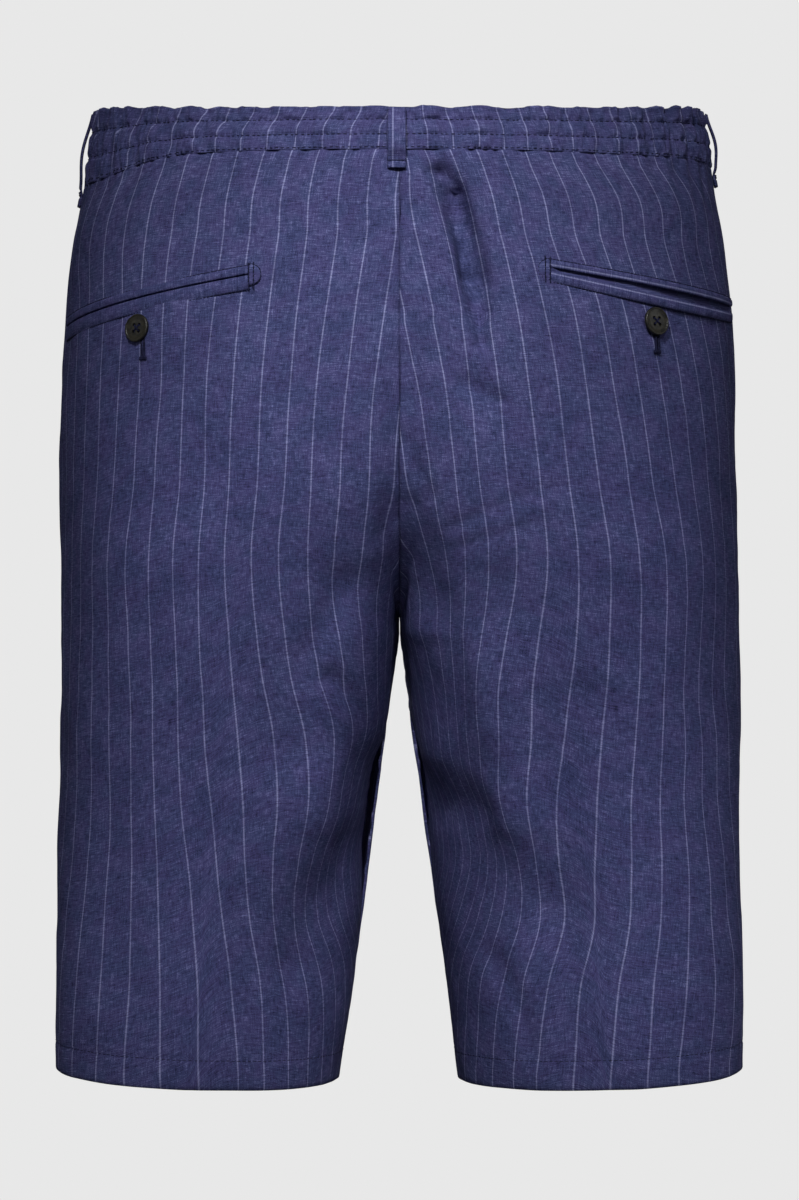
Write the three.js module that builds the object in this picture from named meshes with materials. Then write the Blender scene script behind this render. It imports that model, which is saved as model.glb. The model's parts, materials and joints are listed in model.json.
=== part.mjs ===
// Men's bermuda shorts with an elastic back waistband, in the filled-out form that they take on a wearer.
// Millimetres, +Z up. The back faces +Y, the wearer's left is +X, and the origin is the centre of the waist.

import * as THREE from 'three';

// Cloth
const CLOTH = 1.2;
const HEM_CLOTH = 2.2;
const SEAM_GAP = 0.3;

// Levels
const CROTCH = -267;
const HEM = -507;
const HEM_TILT = 3.2;
const HEM_BAND = 15;
const LEG_START = -57;
const LEG_START_EASE = 1.42;
const CROTCH_EASE = 25;
const INSEAM_START = 0.3;
const INSEAM_SPREAD = 0.1325;

// Shape of the horizontal sections
const ROUNDNESS = 2.3;
const SIDE_SEAM = -0.07;

// Waistband
const BAND_CLOTH = 2.6;
const BAND_SEAM = -14.2;
const BAND_SEAM_DIP = { left: 9.3, right: -1.8 };
const DIP_BACK = { end: 0.95, ease: 0.6 };
const DIP_FRONT = { end: -1.5, ease: 1.2 };
const BAND_TOP_BACK = 8.7;
const BAND_TOP_SIDE = 17.5;
const BAND_TOP_FRONT = 9;
const BAND_OVERLAP = 18;
const BAND_PROUD = 1;
const GATHERS = { count: 46, depth: 1.1, fade: 0.2 };
const GATHER_STRENGTH = { mean: 0.65, change: 0.35, turns: 7, phase: 2 };
const GATHER_DRIFTS = [{ amount: 1.6, turns: 5, phase: 0 }, { amount: 0.9, turns: 11, phase: 1 }];

// Half widths and depths of the worn garment, level by level.
const LEVELS = [
  { z: 24, side: 164.5, back: 94, front: 98 },
  { z: 8, side: 167.5, back: 100.5, front: 103 },
  { z: -18, side: 171.5, back: 111.5, front: 108 },
  { z: -60, side: 178.8, back: 119, front: 112 },
  { z: -110, side: 183.0, back: 124, front: 115 },
  { z: -160, side: 184.6, back: 125, front: 116 },
  { z: -215, side: 184.8, back: 121, front: 114 },
  { z: -267, side: 184.9, back: 111, front: 108 },
  { z: -320, side: 185.5, back: 99, front: 100 },
  { z: -380, side: 186.4, back: 89, front: 92 },
  { z: -440, side: 187.3, back: 82.5, front: 86 },
  { z: -512, side: 188.2, back: 79, front: 82 },
];

// The fold at the inner back of each leg: tuck is how far its ridge stands from the inseam outline, and
// edge is the roundness of the ridge.
const INNER_FOLD = {
  left: [
    { z: -150, tuck: 0, edge: 2.3 },
    { z: -235, tuck: 0, edge: 2.4 },
    { z: -267, tuck: 0, edge: 2.5 },
    { z: -325, tuck: 0.5, edge: 2.4 },
    { z: -348, tuck: 7, edge: 2.8 },
    { z: -364, tuck: 6.5, edge: 2.8 },
    { z: -380, tuck: 8, edge: 2.6 },
    { z: -410, tuck: 2, edge: 2.3 },
    { z: -512, tuck: 0, edge: 2.3 },
  ],
  right: [
    { z: -150, tuck: 0, edge: 2.3 },
    { z: -235, tuck: 0, edge: 2.4 },
    { z: -262, tuck: 0, edge: 2.6 },
    { z: -275, tuck: 9, edge: 3 },
    { z: -293, tuck: 16, edge: 3 },
    { z: -311, tuck: 14, edge: 3 },
    { z: -333, tuck: 4, edge: 2.6 },
    { z: -341, tuck: 5.5, edge: 2.6 },
    { z: -361, tuck: 16, edge: 2.8 },
    { z: -380, tuck: 8, edge: 2.5 },
    { z: -410, tuck: 2, edge: 2.3 },
    { z: -512, tuck: 0, edge: 2.3 },
  ],
};

// Soft creases: face is +1 on the back and -1 on the front, path runs along the crease as [x, z], depth is
// how far the cloth sinks there and width is the trough's half width.
const CREASES = [
  { face: 1, depth: 5, width: 8, path: [[-20.5, -20], [-27.5, -40], [-34, -58], [-40, -80], [-41, -98]] },
  { face: 1, depth: 2.5, width: 9, path: [[-40, -135], [-48, -150]] },
  { face: 1, depth: 3, width: 12, path: [[32, -240], [40, -262], [46, -284]] },
  { face: 1, depth: 5, width: 6, path: [[36, -290], [22, -306], [15, -325], [13, -350], [20, -392]] },
  { face: 1, depth: 2.5, width: 10, path: [[-52, -240], [-44, -262], [-30, -284]] },
  { face: 1, depth: 2, width: 14, path: [[96, -180], [86, -260], [70, -330]] },
  { face: 1, depth: 2, width: 12, path: [[-96, -300], [-84, -370], [-88, -430]] },
  { face: -1, depth: 3, width: 10, path: [[5, -238], [34, -212], [70, -190]] },
  { face: -1, depth: 3, width: 10, path: [[-5, -244], [-38, -220], [-76, -204]] },
  { face: -1, depth: 3, width: 9, path: [[10, -276], [44, -262], [84, -256]] },
  { face: -1, depth: 2.5, width: 11, path: [[-14, -290], [-50, -282], [-88, -290]] },
  { face: -1, depth: 2, width: 14, path: [[92, -320], [84, -390], [96, -460]] },
  { face: -1, depth: 2, width: 14, path: [[-100, -330], [-88, -400], [-94, -470]] },
];

// Gentle vertical falls of the cloth below the seat: each wave's depth, its width across the cloth and the
// length over which it drifts sideways.
const DRAPE = { start: -150, reach: 200 };
const DRAPE_WAVES = [{ depth: 0.9, width: 13, drift: 95 }, { depth: 0.5, width: 7.5, drift: -60 }];

// Back pockets: how far from the centre the mouth starts and ends, the heights of its welts, its middle
// line's levels and its opening at its inner end, halfway and at its outer end, and the button's middle.
const POCKETS = {
  left: {
    from: 78, to: 179, upper: 4.4, lower: 7.2, button: { x: 136.5, z: -106.5 },
    levels: [-80, -92, -101], openings: [1.2, 1.2, 1.2],
  },
  right: {
    from: 78, to: 179, upper: 3.6, lower: 4.8, button: { x: 133.5, z: -103 },
    levels: [-77.3, -88.3, -91.5], openings: [3.6, 6.8, 4.5],
  },
};
const WELT_CLOTH = 1.3;
const WELT_EDGE = 0.75;
const TACK = { width: 6, height: 11.5, roundness: 0.93 };

// Buttons and belt loops
const BUTTON = { radius: 7.5, thickness: 2.6, bevel: 0.6, holeRadius: 0.95, holeSpacing: 1.7, holeSides: 6 };
const WAIST_BUTTON_PLACE = 0.4;
const LOOP = { width: 9, cloth: 1.5, bow: 2.2, bowEnd: 0.85, belowTop: 0.5, belowSeam: 10, foldCloth: 1.7 };
const LOOP_STEP = { above: 1, run: 6 };
const FLY_SHIELD = { halfWidth: 20, top: -17.5, bottom: -175, cloth: 1, behind: 0.9 };

const clamp01 = (value) => Math.min(1, Math.max(0, value));
const smoothstep = (value) => clamp01(value) ** 2 * (3 - 2 * clamp01(value));
const mix = (from, to, share) => from + (to - from) * share;
const sideName = (side) => (side > 0 ? 'left' : 'right');
const signedPower = (value, power) => Math.sign(value) * Math.abs(value) ** power;
const evenly = (from, to, count) => Array.from({ length: count }, (_, i) => mix(from, to, i / (count - 1)));

// A column of a level table as a smooth curve of z, through every row.
function column(table, key) {
  const slopeAt = (i) => {
    const above = table[Math.max(0, i - 1)];
    const below = table[Math.min(table.length - 1, i + 1)];
    return (below[key] - above[key]) / (below.z - above.z);
  };
  return (z) => {
    let i = 0;
    while (i < table.length - 2 && z < table[i + 1].z) i += 1;
    const [upper, lower] = [table[i], table[i + 1]];
    const span = lower.z - upper.z;
    const s = clamp01((z - upper.z) / span);
    const blend = s * s * (3 - 2 * s);
    const enter = s * (1 - s) ** 2 * span * slopeAt(i);
    const leave = s * s * (s - 1) * span * slopeAt(i + 1);
    return mix(upper[key], lower[key], blend) + enter + leave;
  };
}

const sideWidth = column(LEVELS, 'side');
const backDepth = column(LEVELS, 'back');
const frontDepth = column(LEVELS, 'front');
const innerTuck = { left: column(INNER_FOLD.left, 'tuck'), right: column(INNER_FOLD.right, 'tuck') };
const innerEdge = { left: column(INNER_FOLD.left, 'edge'), right: column(INNER_FOLD.right, 'edge') };

// Where a half section would close on its inner side: beyond the centre plane over the hips, on it at the
// crotch, and on the inseam below. hip is 1 where the section is one oval and 0 where it is two legs.
function innerExtent(z) {
  if (z <= CROTCH) return INSEAM_START + INSEAM_SPREAD * (CROTCH - z);
  const rise = clamp01((z - CROTCH) / (LEG_START - CROTCH));
  const eased = ((1 + LEG_START_EASE) * rise) / (rise + LEG_START_EASE);
  const hip = eased * smoothstep((z - CROTCH) / CROTCH_EASE);
  return (-sideWidth(z) * hip) / (2 - hip) + INSEAM_START * (1 - hip);
}

// Distance from a point to a crease's path, in the X and Z plane.
function distanceToPath(x, z, path) {
  let nearest = Infinity;
  for (let i = 0; i + 1 < path.length; i += 1) {
    const [ax, az] = path[i];
    const [bx, bz] = path[i + 1];
    const lengthSquared = (bx - ax) ** 2 + (bz - az) ** 2;
    const along = clamp01(((x - ax) * (bx - ax) + (z - az) * (bz - az)) / lengthSquared);
    nearest = Math.min(nearest, Math.hypot(x - mix(ax, bx, along), z - mix(az, bz, along)));
  }
  return nearest;
}

function creaseDepth(x, z, face) {
  const depths = CREASES.filter((crease) => crease.face === face).map(({ depth, width, path }) => {
    const off = distanceToPath(x, z, path) / width;
    return depth * Math.exp(-(off ** 2));
  });
  return depths.reduce((sum, depth) => sum + depth, 0);
}

function drapeDepth(x, z) {
  const waves = DRAPE_WAVES.map(({ depth, width, drift }) => depth * Math.sin(x / width + z / drift));
  return smoothstep((DRAPE.start - z) / DRAPE.reach) * waves.reduce((sum, wave) => sum + wave, 0);
}

// The outer face of the cloth. turn is the angle round one half of the garment: 0 at the side, positive
// towards the back, and at most PI, which is the inseam.
function clothPoint(side, turn, z) {
  const isBack = turn >= 0;
  const name = sideName(side);
  const width = sideWidth(z);
  const depth = isBack ? backDepth(z) : frontDepth(z);
  const isInner = Math.abs(turn) > Math.PI / 2;
  const tuck = isBack ? innerTuck[name](z) : 0;
  const roundness = isBack && isInner ? innerEdge[name](z) : ROUNDNESS;
  const extent = innerExtent(z) + tuck;
  const halfSpan = (width - extent) / 2;
  const across = signedPower(Math.cos(turn), 2 / roundness);
  const out = Math.abs(Math.sin(turn)) ** (2 / roundness);
  const slant = isInner ? tuck * (1 - out) * across * across : 0;
  const x = side * ((width + extent) / 2 + halfSpan * across - slant);
  const sunk = creaseDepth(x, z, isBack ? 1 : -1) + drapeDepth(x, z);
  const y = (isBack ? 1 : -1) * out * (depth - sunk);
  return new THREE.Vector3(x, y, z);
}

// The outward normal, from small steps along the cloth.
const TURN_STEP = 0.01;
function clothNormal(side, turn, z) {
  const around = clothPoint(side, turn + TURN_STEP, z).sub(clothPoint(side, turn - TURN_STEP, z));
  const up = clothPoint(side, turn, z + 1).sub(clothPoint(side, turn, z - 1));
  return around.cross(up).multiplyScalar(side).normalize();
}

// The direction in which a wall has its thickness: the normal, but level at the waist, so that the walls on
// both sides of the waist seam end flush.
const LEVEL_WALLS = { end: -30, ease: 40 };
function wallDirection(side, turn, z) {
  const direction = clothNormal(side, turn, z);
  direction.z *= smoothstep((LEVEL_WALLS.end - z) / LEVEL_WALLS.ease);
  return direction.normalize();
}

// A point standing off the cloth, inwards where the distance is negative.
function offCloth(side, turn, z, distance) {
  return clothPoint(side, turn, z).addScaledVector(wallDirection(side, turn, z), distance);
}

// The largest value, found by halving, up to which a test holds.
function lastThatHolds(low, high, holds) {
  let [reached, beyond] = [low, high];
  for (let i = 0; i < 40; i += 1) {
    const middle = (reached + beyond) / 2;
    if (holds(middle)) reached = middle;
    else beyond = middle;
  }
  return reached;
}

// The turn of the panel's inner edge: the centre seam over the crotch, and the inseam below it.
function innerEdgeTurn(side, z, isBack) {
  return lastThatHolds(Math.PI / 3, Math.PI, (turn) => {
    const point = clothPoint(side, isBack ? turn : -turn, z);
    return (z > CROTCH ? side * point.x : Math.abs(point.y)) > SEAM_GAP / 2;
  });
}

// The turn at which the back or front of one half reaches a distance from the centre plane.
const WIDEST_TURN = Math.PI / 2 + 0.6;
function turnAtWidth(side, z, distance, isBack = true) {
  const facing = isBack ? 1 : -1;
  const isBeyond = (turn) => side * clothPoint(side, facing * turn, z).x > distance;
  return facing * lastThatHolds(0, WIDEST_TURN, isBeyond);
}

// A step of turn that is a given distance along the cloth.
function turnStep(side, turn, z, distance) {
  const run = clothPoint(side, turn + TURN_STEP, z).distanceTo(clothPoint(side, turn - TURN_STEP, z));
  return (distance * 2 * TURN_STEP) / run;
}

// The waist seam's level: it dips at the left side of the back.
function waistSeam(side, turn) {
  const onBack = smoothstep((DIP_BACK.end - turn) / DIP_BACK.ease);
  const onFront = smoothstep((turn - DIP_FRONT.end) / DIP_FRONT.ease);
  return BAND_SEAM - BAND_SEAM_DIP[sideName(side)] * onBack * onFront;
}

function waistTop(turn) {
  const middle = turn >= 0 ? BAND_TOP_BACK : BAND_TOP_FRONT;
  return mix(middle, BAND_TOP_SIDE, Math.abs(Math.cos(turn)) ** 3);
}

// One closed wall between two grids of points that have the same rows and columns.
function wallGeometry(outer, inner) {
  const rows = outer.length;
  const columns = outer[0].length;
  const positions = [...outer.flat(), ...inner.flat()].flatMap((point) => point.toArray());
  const front = (i, j) => i * columns + j;
  const back = (i, j) => rows * columns + i * columns + j;
  const index = [];
  const quad = (a, b, c, d) => index.push(a, b, c, a, c, d);
  for (let i = 0; i + 1 < rows; i += 1) {
    for (let j = 0; j + 1 < columns; j += 1) {
      quad(front(i, j), front(i + 1, j), front(i + 1, j + 1), front(i, j + 1));
      quad(back(i, j), back(i, j + 1), back(i + 1, j + 1), back(i + 1, j));
    }
    quad(front(i, 0), back(i, 0), back(i + 1, 0), front(i + 1, 0));
    quad(front(i, columns - 1), front(i + 1, columns - 1), back(i + 1, columns - 1), back(i, columns - 1));
  }
  for (let j = 0; j + 1 < columns; j += 1) {
    quad(front(0, j), front(0, j + 1), back(0, j + 1), back(0, j));
    quad(front(rows - 1, j), back(rows - 1, j), back(rows - 1, j + 1), front(rows - 1, j + 1));
  }
  return facingOut(positions, index);
}

// Turns a closed mesh's faces outwards, by the sign of its volume.
function facingOut(positions, index) {
  const corner = (i) => new THREE.Vector3().fromArray(positions, index[i] * 3);
  let volume = 0;
  for (let i = 0; i < index.length; i += 3) volume += corner(i).dot(corner(i + 1).cross(corner(i + 2)));
  const geometry = new THREE.BufferGeometry();
  geometry.setAttribute('position', new THREE.Float32BufferAttribute(positions, 3));
  geometry.setIndex(volume < 0 ? index.toReversed() : index);
  geometry.computeVertexNormals();
  return geometry;
}

const material = (color, roughness) => new THREE.MeshStandardMaterial({ color, roughness, metalness: 0 });
const LINEN = material(0x373a5e, 0.85);
const HORN = material(0x1c1a1e, 0.35);

const shorts = new THREE.Group();
shorts.name = 'bermuda_shorts';

function addPiece(name, geometry, finish = LINEN) {
  const mesh = new THREE.Mesh(geometry, finish);
  mesh.name = name;
  shorts.add(mesh);
  return mesh;
}

// Leg panels

// Levels of a panel's rows: even over the hips, closer towards the crotch, and even down the leg.
const HIP_ROWS = 7;
const CROTCH_ROWS = 6;
const LEG_ROWS = 12;
const CROTCH_REACH = 60;
const CROTCH_CROWDING = 2.2;
const ROW_SHIFT_REACH = 60;
const HEM_STEP = 1;
const PANEL_COLUMNS = 19;
const hemBandTop = HEM + HEM_BAND;
const panelRows = [];
for (let i = 0; i < HIP_ROWS; i += 1) panelRows.push(mix(BAND_SEAM, CROTCH + CROTCH_REACH, i / HIP_ROWS));
for (let i = 0; i < CROTCH_ROWS; i += 1) {
  panelRows.push(CROTCH + CROTCH_REACH * (1 - i / CROTCH_ROWS) ** CROTCH_CROWDING);
}
for (let i = 0; i <= LEG_ROWS; i += 1) panelRows.push(mix(CROTCH, hemBandTop, i / LEG_ROWS));
panelRows.push(hemBandTop - HEM_STEP, HEM);

// A row's level at one place: the top rows follow the waist seam and the bottom rows follow the hem.
function rowLevel(level, side, turn) {
  const nearTop = clamp01(1 - (BAND_SEAM - level) / ROW_SHIFT_REACH);
  const nearHem = clamp01(1 - (level - HEM) / ROW_SHIFT_REACH);
  const topShift = waistSeam(side, turn) - BAND_SEAM - SEAM_GAP / 2;
  return level + nearTop * topShift + nearHem * HEM_TILT * Math.cos(turn);
}

function panelGeometry(side, isBack) {
  const outer = [];
  const inner = [];
  for (const level of panelRows) {
    const innerTurn = innerEdgeTurn(side, level, isBack);
    const halfGap = turnStep(side, SIDE_SEAM, level, SEAM_GAP / 2);
    const [start, end] = isBack ? [SIDE_SEAM + halfGap, innerTurn] : [-innerTurn, SIDE_SEAM - halfGap];
    const cloth = level < hemBandTop ? HEM_CLOTH : CLOTH;
    const turns = evenly(start, end, PANEL_COLUMNS);
    outer.push(turns.map((turn) => clothPoint(side, turn, rowLevel(level, side, turn))));
    inner.push(turns.map((turn) => offCloth(side, turn, rowLevel(level, side, turn), -cloth)));
  }
  return wallGeometry(outer, inner);
}

for (const side of [1, -1]) {
  addPiece(`back_${sideName(side)}`, panelGeometry(side, true));
  addPiece(`front_${sideName(side)}`, panelGeometry(side, false));
}

// Waistband

// The band takes one angle all the way round: 0 at the left side, PI / 2 at the centre back.
function bandPlace(angle) {
  const wrapped = Math.atan2(Math.sin(angle), Math.cos(angle));
  const side = Math.cos(wrapped) >= 0 ? 1 : -1;
  const turn = Math.asin(Math.sin(wrapped));
  return { side, turn };
}

// Uneven gathers of the elastic back, fading out at the side seams.
function gather(angle) {
  const { count, depth, fade } = GATHERS;
  const { mean, change, turns: changeTurns, phase: changePhase } = GATHER_STRENGTH;
  const drifts = GATHER_DRIFTS.map(({ amount, turns, phase }) => amount * Math.sin(turns * angle + phase));
  const wave = Math.sin(drifts.reduce((sum, drift) => sum + drift, count * angle));
  const strength = mean + change * Math.sin(changeTurns * angle + changePhase);
  return depth * wave * strength * smoothstep(Math.sin(angle) / fade);
}

// height runs from 0 at the waist seam to 1 at the top edge.
function bandPoint(angle, height, distance) {
  const { side, turn } = bandPlace(angle);
  return offCloth(side, turn, mix(waistSeam(side, turn) + SEAM_GAP / 2, waistTop(turn), height), distance);
}

// The band's rows: the channels between the rows of stitches puff out by a share of the gathers.
const BAND_ROWS = [
  { height: 0, puff: 0.25 },
  { height: 0.2, puff: 1 },
  { height: 0.4, puff: 0.3 },
  { height: 0.6, puff: 1 },
  { height: 0.8, puff: 0.35 },
  { height: 1, puff: 0.85 },
];

function bandGeometry(start, end, columns, offsetAt) {
  const angles = evenly(start, end, columns);
  const outer = BAND_ROWS.map(({ height, puff }) =>
    angles.map((angle) => bandPoint(angle, height, offsetAt(angle) + gather(angle) * puff)),
  );
  const inner = BAND_ROWS.map(({ height }) =>
    angles.map((angle) => bandPoint(angle, height, offsetAt(angle) - BAND_CLOTH)),
  );
  return wallGeometry(outer, inner);
}

const FRONT_MIDDLE = -Math.PI / 2;
const overlapAngle = BAND_OVERLAP / sideWidth(0);
const UNDERLAP_START = 2.2;
const bandGapAngle = 0.0022;
const leftSeam = SIDE_SEAM - bandGapAngle;
const rightSeam = -Math.PI - SIDE_SEAM + bandGapAngle;
const proud = () => BAND_PROUD;
const underlap = (angle) => {
  const share = smoothstep((angle - FRONT_MIDDLE) / overlapAngle + UNDERLAP_START);
  return BAND_PROUD - share * (BAND_CLOTH + SEAM_GAP);
};
const backSeam = SIDE_SEAM + bandGapAngle;
const BANDS = [
  { name: 'back', from: backSeam, to: Math.PI - backSeam, columns: 115, offset: proud },
  { name: 'front_left', from: FRONT_MIDDLE - overlapAngle, to: leftSeam, columns: 20, offset: proud },
  { name: 'front_right', from: rightSeam, to: FRONT_MIDDLE + overlapAngle, columns: 22, offset: underlap },
];
for (const { name, from, to, columns, offset } of BANDS) {
  addPiece(`waistband_${name}`, bandGeometry(from, to, columns, offset));
}

// Back pockets

// A smooth curve through three values at shares 0, 0.5 and 1.
function curveThrough([first, middle, last], share) {
  const outer = (1 - share) * (1 - 2 * share) * first + share * (2 * share - 1) * last;
  return outer + 4 * share * (1 - share) * middle;
}

// A place on a pocket's mouth: share runs from its inner end to its outer one, and rise is the height above
// its middle line.
function pocketPoint(side, share, rise, distance) {
  const { from, to, levels } = POCKETS[sideName(side)];
  const z = curveThrough(levels, share) + rise;
  return offCloth(side, mix(turnAtWidth(side, z, from), turnAtWidth(side, z, to), share), z, distance);
}

// A welt over the mouth (facing 1) or under it (facing -1), thinner along both edges.
function weltGeometry(side, facing, height) {
  const { openings } = POCKETS[sideName(side)];
  const shares = evenly(0, 1, 17);
  const rows = [[0, WELT_EDGE], [0.5, 1], [1, WELT_EDGE]];
  const row = (out, distance) =>
    shares.map((share) => {
      const rise = facing * (curveThrough(openings, share) / 2 + height * out);
      return pocketPoint(side, share, rise, distance);
    });
  const top = rows.map(([out, crown]) => row(out, SEAM_GAP + WELT_CLOTH * crown));
  const under = rows.map(([out]) => row(out, SEAM_GAP));
  return wallGeometry(top, under);
}

// The stitched D that holds the inner end of the mouth.
function tackGeometry(side) {
  const rows = evenly(0, 1, 5).map((out) => {
    const halfHeight = (TACK.height / 2) * Math.sqrt(1 - TACK.roundness * out * out);
    return evenly(-halfHeight, halfHeight, 4).map((rise) => ({ reach: out * TACK.width, rise }));
  });
  const { from, levels } = POCKETS[sideName(side)];
  const place = ({ reach, rise }, distance) => {
    const z = levels[0] + rise;
    return offCloth(side, turnAtWidth(side, z, from - SEAM_GAP - reach), z, distance);
  };
  const grid = (distance) => rows.map((row) => row.map((spot) => place(spot, distance)));
  return wallGeometry(grid(SEAM_GAP + WELT_CLOTH), grid(SEAM_GAP));
}

// Buttons

function buttonGeometry() {
  const { radius, thickness, bevel, holeRadius, holeSpacing, holeSides } = BUTTON;
  const outline = new THREE.Shape().absarc(0, 0, radius - bevel, 0, 2 * Math.PI);
  const angles = evenly(0, 2 * Math.PI, holeSides + 1).slice(0, holeSides);
  for (const [u, v] of [[1, 1], [-1, 1], [-1, -1], [1, -1]]) {
    const middle = new THREE.Vector2(u, v).multiplyScalar(holeSpacing);
    const corners = angles.map((angle) => {
      const arm = new THREE.Vector2(Math.cos(angle), Math.sin(angle));
      return arm.multiplyScalar(holeRadius).add(middle);
    });
    outline.holes.push(new THREE.Path().setFromPoints(corners));
  }
  const rim = { bevelThickness: bevel, bevelSize: bevel, bevelSegments: 1 };
  const extrusion = { depth: thickness - 2 * bevel, curveSegments: 10, ...rim };
  return new THREE.ExtrudeGeometry(outline, extrusion).translate(0, 0, bevel);
}

function addButton(name, seat, normal) {
  const mesh = addPiece(name, buttonGeometry(), HORN);
  mesh.quaternion.setFromUnitVectors(new THREE.Vector3(0, 0, 1), normal);
  mesh.position.copy(seat).addScaledVector(normal, SEAM_GAP);
}

for (const side of [1, -1]) {
  const name = `pocket_${sideName(side)}`;
  const { upper, lower, button } = POCKETS[sideName(side)];
  addPiece(`${name}_welt_upper`, weltGeometry(side, 1, upper));
  addPiece(`${name}_welt_lower`, weltGeometry(side, -1, lower));
  addPiece(`${name}_tack`, tackGeometry(side));
  const turn = turnAtWidth(side, button.z, button.x);
  addButton(`${name}_button`, clothPoint(side, turn, button.z), clothNormal(side, turn, button.z));
}

const waistButtonAngle = FRONT_MIDDLE - overlapAngle * WAIST_BUTTON_PLACE;
const waistButtonSeat = bandPlace(waistButtonAngle);
addButton(
  'waist_button',
  bandPoint(waistButtonAngle, 0.5, BAND_PROUD),
  clothNormal(waistButtonSeat.side, waistButtonSeat.turn, 0),
);

// Belt loops

// The angle that is a given distance round the waist from another.
const LOOP_REACH = 0.3;
function angleAlong(angle, distance) {
  const start = bandPoint(angle, 0, 0);
  const facing = Math.sign(distance);
  const gone = (step) => bandPoint(angle + facing * step, 0, 0).distanceTo(start);
  return angle + facing * lastThatHolds(0, LOOP_REACH, (step) => gone(step) < Math.abs(distance));
}

// A loop runs from the band's top edge, over the waist seam, to its folded end on the panel below.
function loopGeometry(angle, seatDistance) {
  const { width, cloth, bow, bowEnd, belowTop, belowSeam, foldCloth } = LOOP;
  const spots = [angleAlong(angle, -width / 2), angle, angleAlong(angle, width / 2)];
  const place = (spot, share, thickness) => {
    const { side, turn } = bandPlace(spot);
    const seam = waistSeam(side, turn);
    const z = mix(waistTop(turn) - belowTop, seam - belowSeam, share);
    const onPanel = smoothstep((seam + LOOP_STEP.above - z) / LOOP_STEP.run);
    const rise = bow * Math.sin(Math.PI * clamp01(share / bowEnd)) ** 2;
    const fold = share > bowEnd ? foldCloth : 1;
    return offCloth(side, turn, z, mix(seatDistance, SEAM_GAP, onPanel) + rise + thickness * fold);
  };
  const shares = evenly(0, 1, 9);
  const grid = (thickness) => shares.map((share) => spots.map((spot) => place(spot, share, thickness)));
  return wallGeometry(grid(cloth), grid(0));
}

const loopSeat = BAND_PROUD + SEAM_GAP;
const nearSeamSeat = loopSeat + 0.4;
const LOOPS = [
  { name: 'back', angle: Math.PI / 2 - 0.004, seat: loopSeat + GATHERS.depth },
  { name: 'side_left', angle: 0.06, seat: nearSeamSeat },
  { name: 'side_right', angle: Math.PI - 0.06, seat: nearSeamSeat },
  { name: 'front_left', angle: -1.0, seat: loopSeat },
  { name: 'front_right', angle: Math.PI + 1.0, seat: loopSeat },
];
for (const { name, angle, seat } of LOOPS) addPiece(`belt_loop_${name}`, loopGeometry(angle, seat));

// Fly shield, behind the centre front seam

function flyShieldGeometry() {
  const { halfWidth, top, bottom, cloth, behind } = FLY_SHIELD;
  const place = (x, z, distance) => {
    const side = x >= 0 ? 1 : -1;
    return offCloth(side, turnAtWidth(side, z, Math.abs(x), false), z, distance);
  };
  const across = evenly(-halfWidth, halfWidth, 7);
  const grid = (distance) => evenly(top, bottom, 9).map((z) => across.map((x) => place(x, z, distance)));
  return wallGeometry(grid(-CLOTH - behind), grid(-CLOTH - behind - cloth));
}

addPiece('fly_shield', flyShieldGeometry());

export default shorts;
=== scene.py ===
"""Bermuda shorts in navy pinstripe linen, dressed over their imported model.

The shorts are shown filled out as worn, from the back. Shapes are worked out in millimetres and become metres
when they are made into meshes. The back faces +Y, the wearer's left is +X, and the origin is the centre of
the waist. A turn is the angle round one half of the garment: 0 at the side, positive towards the back, and PI
at the inseam.
"""
import json
import logging
import math
from collections.abc import Callable, Sequence
from dataclasses import dataclass, field
from enum import Enum

import bmesh
import bpy
import numpy as np
from bpy.types import ID, Light, Material, Mesh, Node, NodeSocket, NodeTree, Object
from mathutils import Matrix, Vector

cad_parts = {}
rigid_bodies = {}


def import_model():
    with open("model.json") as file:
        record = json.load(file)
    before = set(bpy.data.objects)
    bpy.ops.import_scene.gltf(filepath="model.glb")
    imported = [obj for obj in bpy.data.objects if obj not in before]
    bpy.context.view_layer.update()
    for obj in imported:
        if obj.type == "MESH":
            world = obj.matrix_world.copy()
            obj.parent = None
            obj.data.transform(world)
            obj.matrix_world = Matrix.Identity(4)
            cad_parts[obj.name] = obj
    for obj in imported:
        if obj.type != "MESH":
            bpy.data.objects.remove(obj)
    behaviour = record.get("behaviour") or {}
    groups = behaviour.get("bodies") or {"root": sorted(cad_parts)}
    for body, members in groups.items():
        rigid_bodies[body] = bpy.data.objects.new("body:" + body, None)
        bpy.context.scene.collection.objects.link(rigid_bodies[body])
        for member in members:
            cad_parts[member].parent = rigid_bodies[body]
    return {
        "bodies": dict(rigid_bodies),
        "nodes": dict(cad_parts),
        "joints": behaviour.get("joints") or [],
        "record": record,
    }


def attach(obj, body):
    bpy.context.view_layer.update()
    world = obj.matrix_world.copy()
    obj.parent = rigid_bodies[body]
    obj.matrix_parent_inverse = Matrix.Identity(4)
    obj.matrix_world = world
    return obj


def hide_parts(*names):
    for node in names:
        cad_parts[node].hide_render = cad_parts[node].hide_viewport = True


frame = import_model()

LOG = logging.getLogger("shorts")
MM = 0.001
BODY = "root"
CLOTH_SLOT = "linen"
BUTTON_SLOT = "horn"
CLOTH_UNIT = 15.7
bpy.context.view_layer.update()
Array = np.ndarray
Triple = tuple[float, float, float]


class Way(Enum):
    """One of two opposite ways, with the sign of its axis."""

    @property
    def label(self) -> str:
        """The way's word in node names."""
        return self.name.lower()


class Half(Way):
    """One half of the garment, named for the wearer, with the sign of its X."""

    LEFT = 1
    RIGHT = -1


class Face(Way):
    """The back or front of the garment, with the sign of its Y."""

    BACK = 1
    FRONT = -1


@dataclass(frozen=True)
class Level:
    """Half width and depths of the worn garment at one level."""

    z: float
    side: float
    back: float
    front: float


@dataclass(frozen=True)
class FoldLevel:
    """The fold at the inner back of a leg: tuck is its ridge's distance from the inseam outline."""

    z: float
    tuck: float
    edge: float


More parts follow.
